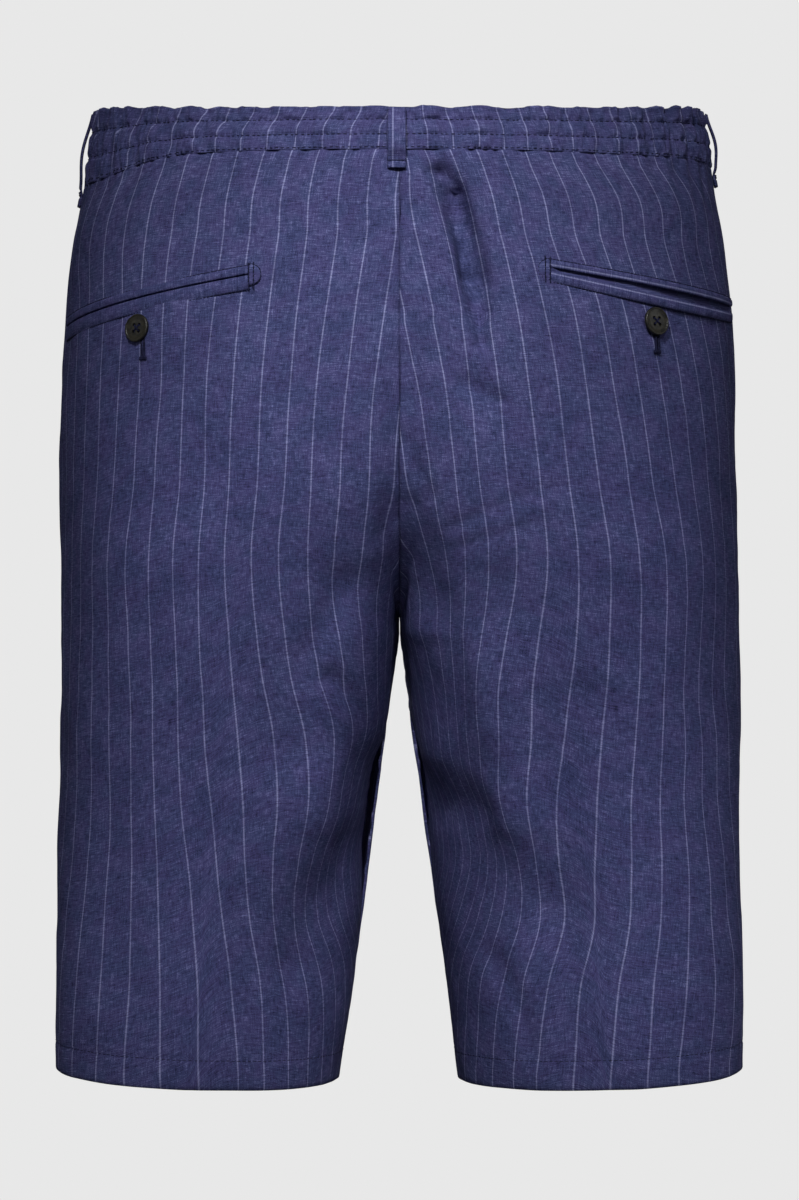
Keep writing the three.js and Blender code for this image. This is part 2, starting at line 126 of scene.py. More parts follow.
@dataclass(frozen=True)
class Crease:
    """A trough along a path of (x, z) places, sunk by depth at its middle. A power of 1 makes it sharp."""

    depth: float
    width: float
    path: tuple[tuple[float, float], ...]
    power: float = 2.0


@dataclass(frozen=True)
class StripeLevel:
    """How the pinstripes lie on a back panel at one level.

    start is the distance from the side seam to stripe 0. outer, inner and deep are the spacings up to the 7th
    stripe, up to the 10th, and beyond it. waver is how far the stripes stray from that in a slow wave.
    """

    z: float
    start: float
    outer: float
    inner: float
    deep: float
    waver: float = 0.0


LEVELS = (
    Level(24, 164.5, 94, 98),
    Level(8, 167.5, 100.5, 103),
    Level(-18, 171.5, 111.5, 108),
    Level(-60, 178.8, 119, 112),
    Level(-110, 183.0, 124, 115),
    Level(-160, 184.6, 125, 116),
    Level(-215, 184.8, 121, 114),
    Level(-267, 184.9, 111, 108),
    Level(-320, 185.5, 99, 100),
    Level(-380, 186.4, 89, 92),
    Level(-440, 187.3, 82.5, 86),
    Level(-512, 188.2, 79, 82),
)

INNER_FOLDS = {
    Half.LEFT: (
        FoldLevel(-150, 0, 2.3),
        FoldLevel(-205, 0, 2.5),
        FoldLevel(-240, 0, 2.9),
        FoldLevel(-267, 0, 2.9),
        FoldLevel(-325, 0.5, 2.6),
        FoldLevel(-348, 7, 3.4),
        FoldLevel(-364, 6.5, 3.2),
        FoldLevel(-380, 8, 2.7),
        FoldLevel(-410, 2, 2),
        FoldLevel(-450, 0, 1.85),
        FoldLevel(-512, 0, 2),
    ),
    Half.RIGHT: (
        FoldLevel(-150, 0, 2.3),
        FoldLevel(-205, 0, 2.5),
        FoldLevel(-240, 0, 2.8),
        FoldLevel(-262, 0, 3),
        FoldLevel(-275, 9, 3.6),
        FoldLevel(-293, 17, 4.2),
        FoldLevel(-311, 15, 4.2),
        FoldLevel(-333, 4, 3.4),
        FoldLevel(-341, 6, 3.4),
        FoldLevel(-361, 18, 3.6),
        FoldLevel(-380, 9, 2.6),
        FoldLevel(-410, 2, 2),
        FoldLevel(-450, 0, 1.85),
        FoldLevel(-512, 0, 2),
    ),
}

CREASES = {
    Face.BACK: (
        Crease(4, 7, ((-22, -28), (-27.5, -40), (-34, -58), (-40, -80), (-41, -98))),
        Crease(2.5, 9, ((-40, -135), (-48, -150))),
        Crease(3, 12, ((32, -240), (40, -262), (46, -284))),
        Crease(5, 6, ((36, -290), (22, -306), (15, -325), (13, -350), (20, -392))),
        Crease(2.5, 10, ((-52, -240), (-44, -262), (-30, -284))),
        Crease(2, 14, ((96, -180), (86, -260), (70, -330))),
        Crease(2, 12, ((-96, -300), (-84, -370), (-88, -430))),
    ),
    Face.FRONT: (
        Crease(3, 10, ((5, -238), (34, -212), (70, -190))),
        Crease(3, 10, ((-5, -244), (-38, -220), (-76, -204))),
        Crease(3, 9, ((10, -276), (44, -262), (84, -256))),
        Crease(2.5, 11, ((-14, -290), (-50, -282), (-88, -290))),
        Crease(2, 14, ((92, -320), (84, -390), (96, -460))),
        Crease(2, 14, ((-100, -330), (-88, -400), (-94, -470))),
    ),
}

WRINKLES = {
    Face.BACK: (
        Crease(3.6, 3.2, ((-21.5, -25.5), (-25, -30.5)), 1.1),
        Crease(13.5, 4.2, ((-28, -37), (-30.7, -48), (-33.9, -58), (-36, -69), (-38.2, -80)), 1.0),
        Crease(8.5, 4.2, ((-39.6, -87), (-41.3, -101), (-42.9, -116)), 1.0),
        Crease(0.8, 2.2, ((-14, -26), (-20, -25.5))),
        Crease(2.0, 5.5, ((-1, -98), (-7, -120), (-8, -141), (-4, -160), (-5, -175), (-15, -194))),
        Crease(1.4, 6.0, ((2, -128), (5, -160), (4, -190), (9, -215))),
        Crease(2.0, 3.6, ((-33, -137), (-42, -141), (-51, -146))),
        Crease(1.3, 3.5, ((-27, -212), (-46, -203), (-65, -195), (-84, -190))),
        Crease(1.0, 3.2, ((-30, -222), (-52, -215), (-72, -209))),
        Crease(2.2, 9.0, ((26, -242), (36, -258), (48, -276))),
        Crease(3.0, 12.0, ((-8, -205), (-14, -240), (-22, -270))),
        Crease(5.0, 16.0, ((14, -341), (20, -378), (42, -410), (53, -440))),
        Crease(5.0, 22.0, ((-28, -340), (-44, -378), (-74, -412))),
        Crease(1.6, 6.0, ((-50, -440), (-62, -462), (-70, -488))),
        Crease(1.2, 5.0, ((60, -24), (56, -44), (58, -62))),
        Crease(1.0, 4.5, ((32, -24), (28, -48), (24, -66))),
        Crease(1.1, 4.5, ((-70, -24), (-64, -46), (-66, -64))),
    ),
    Face.FRONT: (
        Crease(2.2, 5.0, ((8, -214), (30, -196), (58, -186))),
        Crease(1.8, 4.5, ((-8, -226), (-34, -204), (-60, -196))),
        Crease(3.0, 9.0, ((12, -300), (26, -330), (30, -368))),
        Crease(3.0, 10.0, ((-12, -296), (-30, -334), (-42, -380))),
        Crease(1.4, 4.5, ((84, -40), (74, -70), (70, -104))),
        Crease(1.4, 4.5, ((-88, -44), (-76, -78), (-74, -112))),
    ),
}

STRIPES = {
    Half.LEFT: (
        StripeLevel(-20, 57.5, 14.2, 14.5, 14.5),
        StripeLevel(-40, 54, 14.8, 15, 14.8),
        StripeLevel(-62, 54.5, 15.2, 15.2, 15.2),
        StripeLevel(-104, 68, 13.9, 15, 15),
        StripeLevel(-166, 73, 13.8, 14.3, 14.3),
        StripeLevel(-228, 71.5, 13.9, 13.9, 15.2),
        StripeLevel(-290, 66, 13.5, 15.8, 15.5),
        StripeLevel(-322, 60.3, 13.6, 18.2, 16),
        StripeLevel(-354, 53, 14.4, 17.5, 13),
        StripeLevel(-386, 45, 15.6, 14.8, 9.5),
        StripeLevel(-418, 35, 17.2, 14, 9),
        StripeLevel(-451, 25, 19, 15.6, 12),
        StripeLevel(-500, 16.5, 20.5, 15.2, 12),
    ),
    Half.RIGHT: (
        StripeLevel(-20, 97, 12.7, 13.5, 11),
        StripeLevel(-40, 89, 13.8, 14.3, 15),
        StripeLevel(-62, 92, 13.6, 14.2, 16),
        StripeLevel(-103, 85, 14.6, 14.3, 15.5, 1.5),
        StripeLevel(-164, 79.4, 15.2, 14.8, 13.6, 1.7),
        StripeLevel(-227, 73, 15.4, 14.9, 13.8, 2.5),
        StripeLevel(-291, 65.6, 15.6, 15.3, 12, 6),
        StripeLevel(-323, 56, 16.6, 14.6, 10, 5),
        StripeLevel(-355, 51.5, 17.1, 13.4, 8, 5),
        StripeLevel(-388, 42.6, 17.8, 10.3, 7, 3.4),
        StripeLevel(-420, 39, 17.7, 12.2, 8.5, 1),
        StripeLevel(-454, 30, 19.9, 15, 10.5, -1.5),
        StripeLevel(-500, 36, 19.7, 15.7, 12),
    ),
}


def clamp01(value: Array) -> Array:
    """Limit values to the range from 0 to 1."""
    return np.clip(value, 0.0, 1.0)


def smoothstep(value: Array) -> Array:
    """Ease values from 0 to 1."""
    share = clamp01(value)
    return share * share * (3 - 2 * share)


def mix(start: Array, end: Array, share: Array) -> Array:
    """Blend two values by a share."""
    return start + (end - start) * share


def signed_power(value: Array, power: Array) -> Array:
    """Raise the size of a value to a power and keep its sign."""
    return np.sign(value) * np.abs(value) ** power


def bell(distance: Array, width: float) -> Array:
    """A smooth bump that is 1 where the distance is 0."""
    return np.exp(-((distance / width) ** 2))


class LevelCurve:
    """A size as a smooth curve of the level, through every row of a table.

    Args:
        levels: The rows' levels, from the highest down.
        values: The size at each row.
    """

    def __init__(self, levels: Sequence[float], values: Sequence[float]) -> None:
        """Work out the slope at each row."""
        self.levels = np.array(levels, float)
        self.values = np.array(values, float)
        before = np.maximum(np.arange(len(levels)) - 1, 0)
        after = np.minimum(np.arange(len(levels)) + 1, len(levels) - 1)
        rise = self.values[after] - self.values[before]
        self.slopes = rise / (self.levels[after] - self.levels[before])

    def __call__(self, z: Array) -> Array:
        """The size at a level.

        Args:
            z: One level or an array of them.

        Returns:
            The size at each level.
        """
        row = np.clip(np.searchsorted(-self.levels, -np.asarray(z, float)) - 1, 0, len(self.levels) - 2)
        span = self.levels[row + 1] - self.levels[row]
        s = clamp01((z - self.levels[row]) / span)
        enter = s * (1 - s) ** 2 * span * self.slopes[row]
        leave = s * s * (s - 1) * span * self.slopes[row + 1]
        return mix(self.values[row], self.values[row + 1], s * s * (3 - 2 * s)) + enter + leave


class Lattice:
    """Smooth random relief from a fixed seed, between -1 and 1.

    Args:
        seed: The seed of its random numbers.
    """

    SIZE = 64

    def __init__(self, seed: int) -> None:
        """Draw the lattice's numbers."""
        self.grid = np.random.default_rng(seed).uniform(-1, 1, (self.SIZE, self.SIZE))

    def __call__(self, u: Array, v: Array) -> Array:
        """The relief at places on the lattice, which repeats every SIZE units.

        Args:
            u: Places along the first direction.
            v: Places along the second direction.

        Returns:
            The relief at each place.
        """
        u0, v0 = np.floor(u).astype(int), np.floor(v).astype(int)
        fu, fv = smoothstep(u - u0), smoothstep(v - v0)

        def at(i: int, j: int) -> Array:
            """The numbers at one corner of the places' squares."""
            return self.grid[(u0 + i) % self.SIZE, (v0 + j) % self.SIZE]

        return mix(mix(at(0, 0), at(1, 0), fu), mix(at(0, 1), at(1, 1), fu), fv)


@dataclass
class GarmentForm:
    """The outer face of the worn cloth, as a function of the half, the turn and the level."""

    crotch: float = -267
    hem: float = -507
    hem_tilt: float = 3.2
    hem_band: float = 15
    leg_start: float = -57
    leg_start_ease: float = 1.42
    crotch_ease: float = 80
    inseam_start: float = 0.3
    inseam_spread: float = 0.1325
    roundness: float = 2.3
    side_seam: float = -0.07
    cloth: float = 1.2
    hem_cloth: float = 2.2
    band_seam: float = -14.2
    seam_dip: dict[Half, float] = field(default_factory=lambda: {Half.LEFT: 9.3, Half.RIGHT: -1.8})
    dip_inner: float = 0.95
    dip_outer: float = -1.5
    band_top_back: float = 8.7
    band_top_side: float = 17.5
    band_top_front: float = 9
    ridge_start: float = 0.45
    ridge_width: float = 0.5
    flush_to: float = -30
    flush_fade: float = 40
    row_fade: float = 60
    halvings: int = 40
    drape_top: float = -150
    drape_fade: float = 200
    drapes: tuple[Triple, ...] = ((0.9, 13, 95), (0.5, 7.5, -60))

    def __post_init__(self) -> None:
        """Turn the tables into curves."""
        z = [row.z for row in LEVELS]
        self.side_width = LevelCurve(z, [row.side for row in LEVELS])
        self.depths = {
            Face.BACK: LevelCurve(z, [row.back for row in LEVELS]),
            Face.FRONT: LevelCurve(z, [row.front for row in LEVELS]),
        }
        self.tuck = {h: LevelCurve([r.z for r in t], [r.tuck for r in t]) for h, t in INNER_FOLDS.items()}
        self.edge = {h: LevelCurve([r.z for r in t], [r.edge for r in t]) for h, t in INNER_FOLDS.items()}

    def inner_extent(self, z: Array) -> Array:
        """Where a half section would close on its inner side: on the inseam below the crotch."""
        rise = clamp01((z - self.crotch) / (self.leg_start - self.crotch))
        eased = smoothstep((z - self.crotch) / self.crotch_ease)
        hip = (1 + self.leg_start_ease) * rise / (rise + self.leg_start_ease) * eased
        above = -self.side_width(z) * hip / (2 - hip) + self.inseam_start * (1 - hip)
        below = self.inseam_start + self.inseam_spread * (self.crotch - z)
        return np.where(z <= self.crotch, below, above)

    @staticmethod
    def crease_depth(x: Array, z: Array, creases: Sequence[Crease]) -> Array:
        """How far creases sink the cloth at places (x, z)."""
        sunk = np.zeros(np.broadcast(x, z).shape)
        for crease in creases:
            nearest = np.full(sunk.shape, np.inf)
            for (ax, az), (bx, bz) in zip(crease.path, crease.path[1:]):
                length = (bx - ax) ** 2 + (bz - az) ** 2
                along = clamp01(((x - ax) * (bx - ax) + (z - az) * (bz - az)) / length)
                nearest = np.minimum(nearest, np.hypot(x - mix(ax, bx, along), z - mix(az, bz, along)))
            sunk += crease.depth * np.exp(-((nearest / crease.width) ** crease.power))
        return sunk

    def drape(self, x: Array, z: Array) -> Array:
        """Gentle vertical falls of the cloth below the seat."""
        reach = smoothstep((self.drape_top - z) / self.drape_fade)
        return reach * sum(depth * np.sin(x / across + z / down) for depth, across, down in self.drapes)

    def point(self, half: Half, turn: Array, z: Array) -> Array:
        """The outer face of the cloth.

        Args:
            half: The half of the garment.
            turn: The turns of the places.
            z: The levels of the places.

        Returns:
            The places, with X, Y and Z along the last axis.
        """
        turn, z = np.broadcast_arrays(np.asarray(turn, float), np.asarray(z, float))
        is_back, is_inner = turn >= 0, np.abs(turn) > math.pi / 2
        width = self.side_width(z)
        depth = np.where(is_back, self.depths[Face.BACK](z), self.depths[Face.FRONT](z))
        tuck = np.where(is_back, self.tuck[half](z), 0)
        roundness = np.where(is_back & is_inner, self.edge[half](z), self.roundness)
        extent = self.inner_extent(z)
        across = signed_power(np.cos(turn), 2 / roundness)
        out = np.abs(np.sin(turn)) ** (2 / roundness)
        drawn_in = np.where(is_inner, (1 - out) * across * across, 0)
        ridge = tuck * (smoothstep((-across - self.ridge_start) / self.ridge_width) - drawn_in)
        x = half.value * ((width + extent) / 2 + (width - extent) / 2 * across + ridge)
        sunk = [self.crease_depth(x, z, CREASES[face]) for face in Face]
        y = np.where(is_back, 1, -1) * out * (depth - np.where(is_back, *sunk) - self.drape(x, z))
        return np.stack([x, y, z], axis=-1)

    def normal(self, half: Half, turn: Array, z: Array) -> Array:
        """The outward normal, from small steps along the cloth."""
        step, rise = 0.01, 1.0
        around = self.point(half, turn + step, z) - self.point(half, turn - step, z)
        up = self.point(half, turn, z + rise) - self.point(half, turn, z - rise)
        across = half.value * np.cross(around, up)
        return across / np.linalg.norm(across, axis=-1, keepdims=True)

    def tilt_share(self, z: Array) -> Array:
        """How far a wall's direction may tilt: not at all near the waist."""
        return smoothstep((self.flush_to - np.asarray(z, float)) / self.flush_fade)

    def wall_direction(self, half: Half, turn: Array, z: Array) -> Array:
        """The normal, but level at the waist, where a wall's ends are flush."""
        direction = self.normal(half, turn, z)
        direction[..., 2] *= self.tilt_share(z)
        return direction / np.linalg.norm(direction, axis=-1, keepdims=True)

    def off_cloth(self, half: Half, turn: Array, z: Array, distance: Array) -> Array:
        """Places that stand off the cloth by a distance."""
        offset = np.asarray(distance, float)[..., None] * self.wall_direction(half, turn, z)
        return self.point(half, turn, z) + offset

    def solve_turn(self, low: Array, high: Array, is_before: Callable[[Array], Array]) -> Array:
        """Halve a range of turns until it holds one place.

        Args:
            low: The turns before the place.
            high: The turns after it.
            is_before: Says which turns come before the place.

        Returns:
            The turns of the place.
        """
        for _ in range(self.halvings):
            middle = (low + high) / 2
            before = is_before(middle)
            low, high = np.where(before, middle, low), np.where(before, high, middle)
        return low

    def inner_turn(self, half: Half, z: Array, face: Face, gap: float) -> Array:
        """The turn of a panel's inner edge: the centre seam over the crotch and the inseam below it."""

        def is_before(turn: Array) -> Array:
            """Say whether a turn still lies clear of the seam."""
            places = self.point(half, face.value * turn, z)
            clear = np.where(z > self.crotch, half.value * places[..., 0], np.abs(places[..., 1]))
            return clear > gap

        z = np.asarray(z, float)
        return self.solve_turn(np.full(z.shape, math.pi / 3), np.full(z.shape, math.pi), is_before)

    def turn_at_width(self, half: Half, z: Array, distance: Array, face: Face = Face.BACK) -> Array:
        """The turn at which one face of a half is a distance from the centre plane."""
        z, distance = np.broadcast_arrays(np.asarray(z, float), np.asarray(distance, float))

        def is_before(turn: Array) -> Array:
            """Say whether a turn is still farther out than the distance."""
            return half.value * self.point(half, face.value * turn, z)[..., 0] > distance

        low = self.solve_turn(np.zeros(z.shape), np.full(z.shape, math.pi / 2 + 0.6), is_before)
        return face.value * low

    def waist_seam(self, half: Half, turn: Array) -> Array:
        """The level of the waist seam, which dips at the left of the back and rises a little at the right."""
        towards_seam = smoothstep((self.dip_inner - turn) / 0.6)
        towards_side = smoothstep((turn - self.dip_outer) / 1.2)
        return self.band_seam - self.seam_dip[half] * towards_seam * towards_side

    def waist_top(self, turn: Array) -> Array:
        """The level of the waistband's top edge."""
        middle = np.where(turn >= 0, self.band_top_back, self.band_top_front)
        return mix(middle, self.band_top_side, np.abs(np.cos(turn)) ** 3)

    def row_level(self, level: Array, half: Half, turn: Array) -> Array:
        """A row's level at one place: the top rows follow the waist seam and the bottom ones the hem."""
        near_top = clamp01(1 - (self.band_seam - level) / self.row_fade)
        near_hem = clamp01(1 - (level - self.hem) / self.row_fade)
        top_shift = self.waist_seam(half, turn) - self.band_seam
        return level + near_top * top_shift + near_hem * self.hem_tilt * np.cos(turn)


class MeshMaker:
    """Turns grids of points, in millimetres, into mesh objects, in metres."""

    @staticmethod
    def linked(name: str, data: ID | None) -> Object:
        """Make an object from its data and add it to the scene."""
        made = bpy.data.objects.new(name, data)
        bpy.context.scene.collection.objects.link(made)
        return made

    @staticmethod
    def object_from(name: str, points: Array, faces: Array, uv: Array | None = None) -> Object:
        """Make a mesh object with smooth faces.

        Args:
            name: The object's name.
            points: The vertices in millimetres.
            faces: The quads, as rows of four vertex numbers.
            uv: A pair for each vertex, kept as the map named cloth.

        Returns:
            The new object.
        """
        mesh = bpy.data.meshes.new(name)
        mesh.from_pydata((points * MM).tolist(), [], faces.tolist())
        if uv is not None:
            layer = mesh.uv_layers.new(name="cloth")
            loops = np.empty(len(mesh.loops), np.int32)
            mesh.loops.foreach_get("vertex_index", loops)
            layer.data.foreach_set("uv", uv[loops].astype(np.float32).ravel())
        mesh.polygons.foreach_set("use_smooth", np.ones(len(mesh.polygons), bool))
        mesh.validate()
        return MeshMaker.linked(name, mesh)

    @staticmethod
    def object_from_bmesh(name: str, made: bmesh.types.BMesh) -> Object:
        """Turn a bmesh into an object, and free it."""
        mesh = bpy.data.meshes.new(name)
        made.to_mesh(mesh)
        made.free()
        return MeshMaker.linked(name, mesh)

    @staticmethod
    def evaluated_mesh(piece: Object) -> Mesh:
        """The plain mesh that an object's modifiers give."""
        graph = bpy.context.evaluated_depsgraph_get()
        return bpy.data.meshes.new_from_object(piece.evaluated_get(graph))

    @staticmethod
    def add_tube(target: bmesh.types.BMesh, path: Sequence[Vector], radius: float, sides: int = 8) -> None:
        """Add a closed tube along a path.

        Args:
            target: The bmesh that takes it.
            path: The middle line.
            radius: The tube's radius.
            sides: The number of its sides.
        """
        rings = []
        for k, place in enumerate(path):
            ahead = path[min(k + 1, len(path) - 1)] - path[max(k - 1, 0)]
            frame = ahead.to_track_quat("Z", "Y").to_matrix()
            angles = np.linspace(0, 2 * math.pi, sides, endpoint=False)
            ring = [place + frame @ Vector((radius * math.cos(a), radius * math.sin(a), 0)) for a in angles]
            rings.append([target.verts.new(corner) for corner in ring])
        for first, second in zip(rings, rings[1:]):
            for k in range(sides):
                after = (k + 1) % sides
                target.faces.new((first[k], first[after], second[after], second[k]))
        target.faces.new(rings[0][::-1])
        target.faces.new(rings[-1])

    @staticmethod
    def border(rows: int, columns: int) -> Array:
        """The numbers of a grid's border vertices, in order round it."""
        number = np.arange(rows * columns).reshape(rows, columns)
        return np.concatenate([number[0], number[1:, -1], number[-1, -2::-1], number[-2:0:-1, 0]])

    @classmethod
    def wall(
        cls, name: str, outer: Array, inner: Array, uv: Array, rolls: tuple[float, float, float, float]
    ) -> Object:
        """Make one closed wall between two grids, with its edges rolled outwards.

        Args:
            name: The object's name.
            outer: The outer grid of points, rows by columns.
            inner: The inner grid.
            uv: The outer grid's map.
            rolls: How far the edge bulges at the first row, last column, last row and first column.

        Returns:
            The new object.
        """
        rows, columns = outer.shape[:2]
        count = rows * columns
        middle = (outer + inner) / 2
        rim = middle.copy()
        first_row, last_column, last_row, first_column = rolls
        rim[0] += cls.unit(middle[0] - middle[1]) * first_row
        rim[-1] += cls.unit(middle[-1] - middle[-2]) * last_row
        rim[:, 0] += cls.unit(middle[:, 0] - middle[:, 1]) * first_column
        rim[:, -1] += cls.unit(middle[:, -1] - middle[:, -2]) * last_column
        edge = cls.border(rows, columns)
        points = np.concatenate([outer.reshape(-1, 3), inner.reshape(-1, 3), rim.reshape(-1, 3)[edge]])
        number = np.arange(count).reshape(rows, columns)
        corners = (number[:-1, :-1], number[1:, :-1], number[1:, 1:], number[:-1, 1:])
        quads = np.stack(corners, -1).reshape(-1, 4)
        ring = 2 * count + np.arange(len(edge))
        after, ring_after = np.roll(edge, -1), np.roll(ring, -1)
        over = np.stack([edge, after, ring_after, ring], -1)
        under = np.stack([ring, ring_after, after + count, edge + count], -1)
        faces = np.concatenate([quads, quads[:, ::-1] + count, over, under])
        flat_uv = uv.reshape(-1, 2)
        all_uv = np.concatenate([flat_uv, flat_uv, flat_uv[edge]])
        if cls.volume(points, faces) < 0:
            faces = faces[:, ::-1]
        return cls.object_from(f"{name}_cloth", points, faces, all_uv)

    @staticmethod
    def unit(vectors: Array) -> Array:
        """Scale vectors to a length of 1."""
        return vectors / np.maximum(np.linalg.norm(vectors, axis=-1, keepdims=True), 1e-9)

    @staticmethod
    def volume(points: Array, faces: Array) -> float:
        """Six times the signed volume of a closed mesh of quads."""
        a, b, c, d = (points[faces[:, i]] for i in range(4))
        halves = [np.einsum("ij,ij->i", a, np.cross(first, second)) for first, second in ((b, c), (c, d))]
        return float((halves[0] + halves[1]).sum())


def grid_normals(points: Array) -> Array:
    """Unit normals of a grid of points, on the side that columns cross rows."""
    return MeshMaker.unit(np.cross(np.gradient(points, axis=1), np.gradient(points, axis=0)))


def arc_lengths(points: Array, axis: int) -> Array:
    """Distances along a grid of points from its first row or column."""
    steps = np.linalg.norm(np.diff(points, axis=axis), axis=-1)
    start = np.zeros_like(np.take(steps, [0], axis=axis))
    return np.concatenate([start, np.cumsum(steps, axis=axis)], axis=axis)


@dataclass(frozen=True)
class PocketPlace:
    """Where a back pocket lies, and how its mouth and welts measure.

    start and end are the mouth's reach from the centre. levels are its middle line's levels, and gaps its
    openings, at the inner end, in the middle and at the outer end. upper and lower are the welts' heights.
    sink is how deep the mouth lies, and welt_stripe is where the welts' cloth is cut. hole_shift is how far
    the buttonhole lies from the button's middle.
    """

    start: float
    end: float
    levels: Triple
    gaps: Triple
    upper: float
    lower: float
    sink: float
    welt_stripe: float
    button: tuple[float, float]
    hole_shift: float

    @staticmethod
    def through(values: Triple, share: Array) -> Array:
        """A smooth curve through values at shares 0, 0.5 and 1."""
        first, middle, last = values
        outer = (1 - share) * (1 - 2 * share) * first + share * (2 * share - 1) * last
        return outer + 4 * share * (1 - share) * middle

    def level(self, share: Array) -> Array:
        """The middle line's level at a share of the mouth's length."""
        return self.through(self.levels, share)

    def mouth(self, share: Array) -> Array:
        """The mouth's opening at a share of its length."""
        return self.through(self.gaps, share)


POCKETS = {
    Half.LEFT: PocketPlace(
        start=78,
        end=179,
        levels=(-80, -92, -101),
        gaps=(1.2, 1.2, 1.2),
        upper=4.4,
        lower=7.2,
        sink=2.6,
        welt_stripe=0.45,
        button=(136.5, -106.5),
        hole_shift=-2.6,
    ),
    Half.RIGHT: PocketPlace(
        start=78,
        end=179,
        levels=(-77.3, -88.3, -91.5),
        gaps=(2.6, 5.0, 4.0),
        upper=4.2,
        lower=5.2,
        sink=1.7,
        welt_stripe=-0.06,
        button=(133.5, -103),
        hole_shift=1.2,
    ),
}


@dataclass
class StripePlan:
    """The count of pinstripes round each half, which the cloth's map carries."""

    front_pitch: float = 15.7
    front_start: float = 0.35
    outer_stripes: float = 7
    inner_stripes: float = 3
    waver_centre: float = 7.2
    waver_stripes: float = 10
    wander: float = 0.05

    def __post_init__(self) -> None:
        """Turn the table's columns into curves."""
        self.columns = {
            half: {
                name: LevelCurve([row.z for row in table], [getattr(row, name) for row in table])
                for name in ("start", "outer", "inner", "deep", "waver")
            }
            for half, table in STRIPES.items()
        }
        self.stray = Lattice(31)

    def count(self, half: Half, face: Face, level: Array, arc: Array) -> Array:
        """The stripe count at a distance from the side seam.

        Args:
            half: The half of the garment.
            face: Its back or front.
            level: The level of each place.
            arc: Its distance from the side seam.

        Returns:
            The count, whose whole numbers lie on stripes.
        """
        if face is Face.FRONT:
            return self.front_start + arc / self.front_pitch + self.wander * self.stray(arc / 15, level / 60)
        start, outer, inner, deep, waver = (curve(level) for curve in self.columns[half].values())
        to_inner = start + self.outer_stripes * outer
        to_deep = to_inner + self.inner_stripes * inner
        count = np.minimum(arc - start, to_inner - start) / outer
        count = count + np.clip(arc - to_inner, 0, to_deep - to_inner) / inner
        count = count + np.maximum(arc - to_deep, 0) / deep
        wave = np.sin(2 * np.pi * (count - self.waver_centre) / self.waver_stripes)
        within = smoothstep(count + 1) * smoothstep(14 - count)
        return count - waver / outer * wave * within + self.wander * self.stray(count + 7, level / 45)


@dataclass
class Surface:
    """The outer face of a finished piece as a grid, which the sewing follows."""

    points: Array
    levels: Array

    def area(self) -> float:
        """The area of the grid, in square millimetres."""
        down, across = np.diff(self.points, axis=0), np.diff(self.points, axis=1)
        upper = np.cross(down[:, :-1], across[:-1])
        lower = np.cross(down[:, 1:], across[1:])
        return float(np.linalg.norm(upper, axis=-1).sum() + np.linalg.norm(lower, axis=-1).sum()) / 2

    def line_at(self, target: Array) -> Array:
        """The line across the piece at one level in each column.

        Args:
            target: The level for each column.

        Returns:
            One point for each column.
        """
        columns = range(self.points.shape[1])
        line = [
            [np.interp(-target[c], -self.levels[:, c], self.points[:, c, axis]) for axis in range(3)]
            for c in columns
        ]
        return np.array(line)


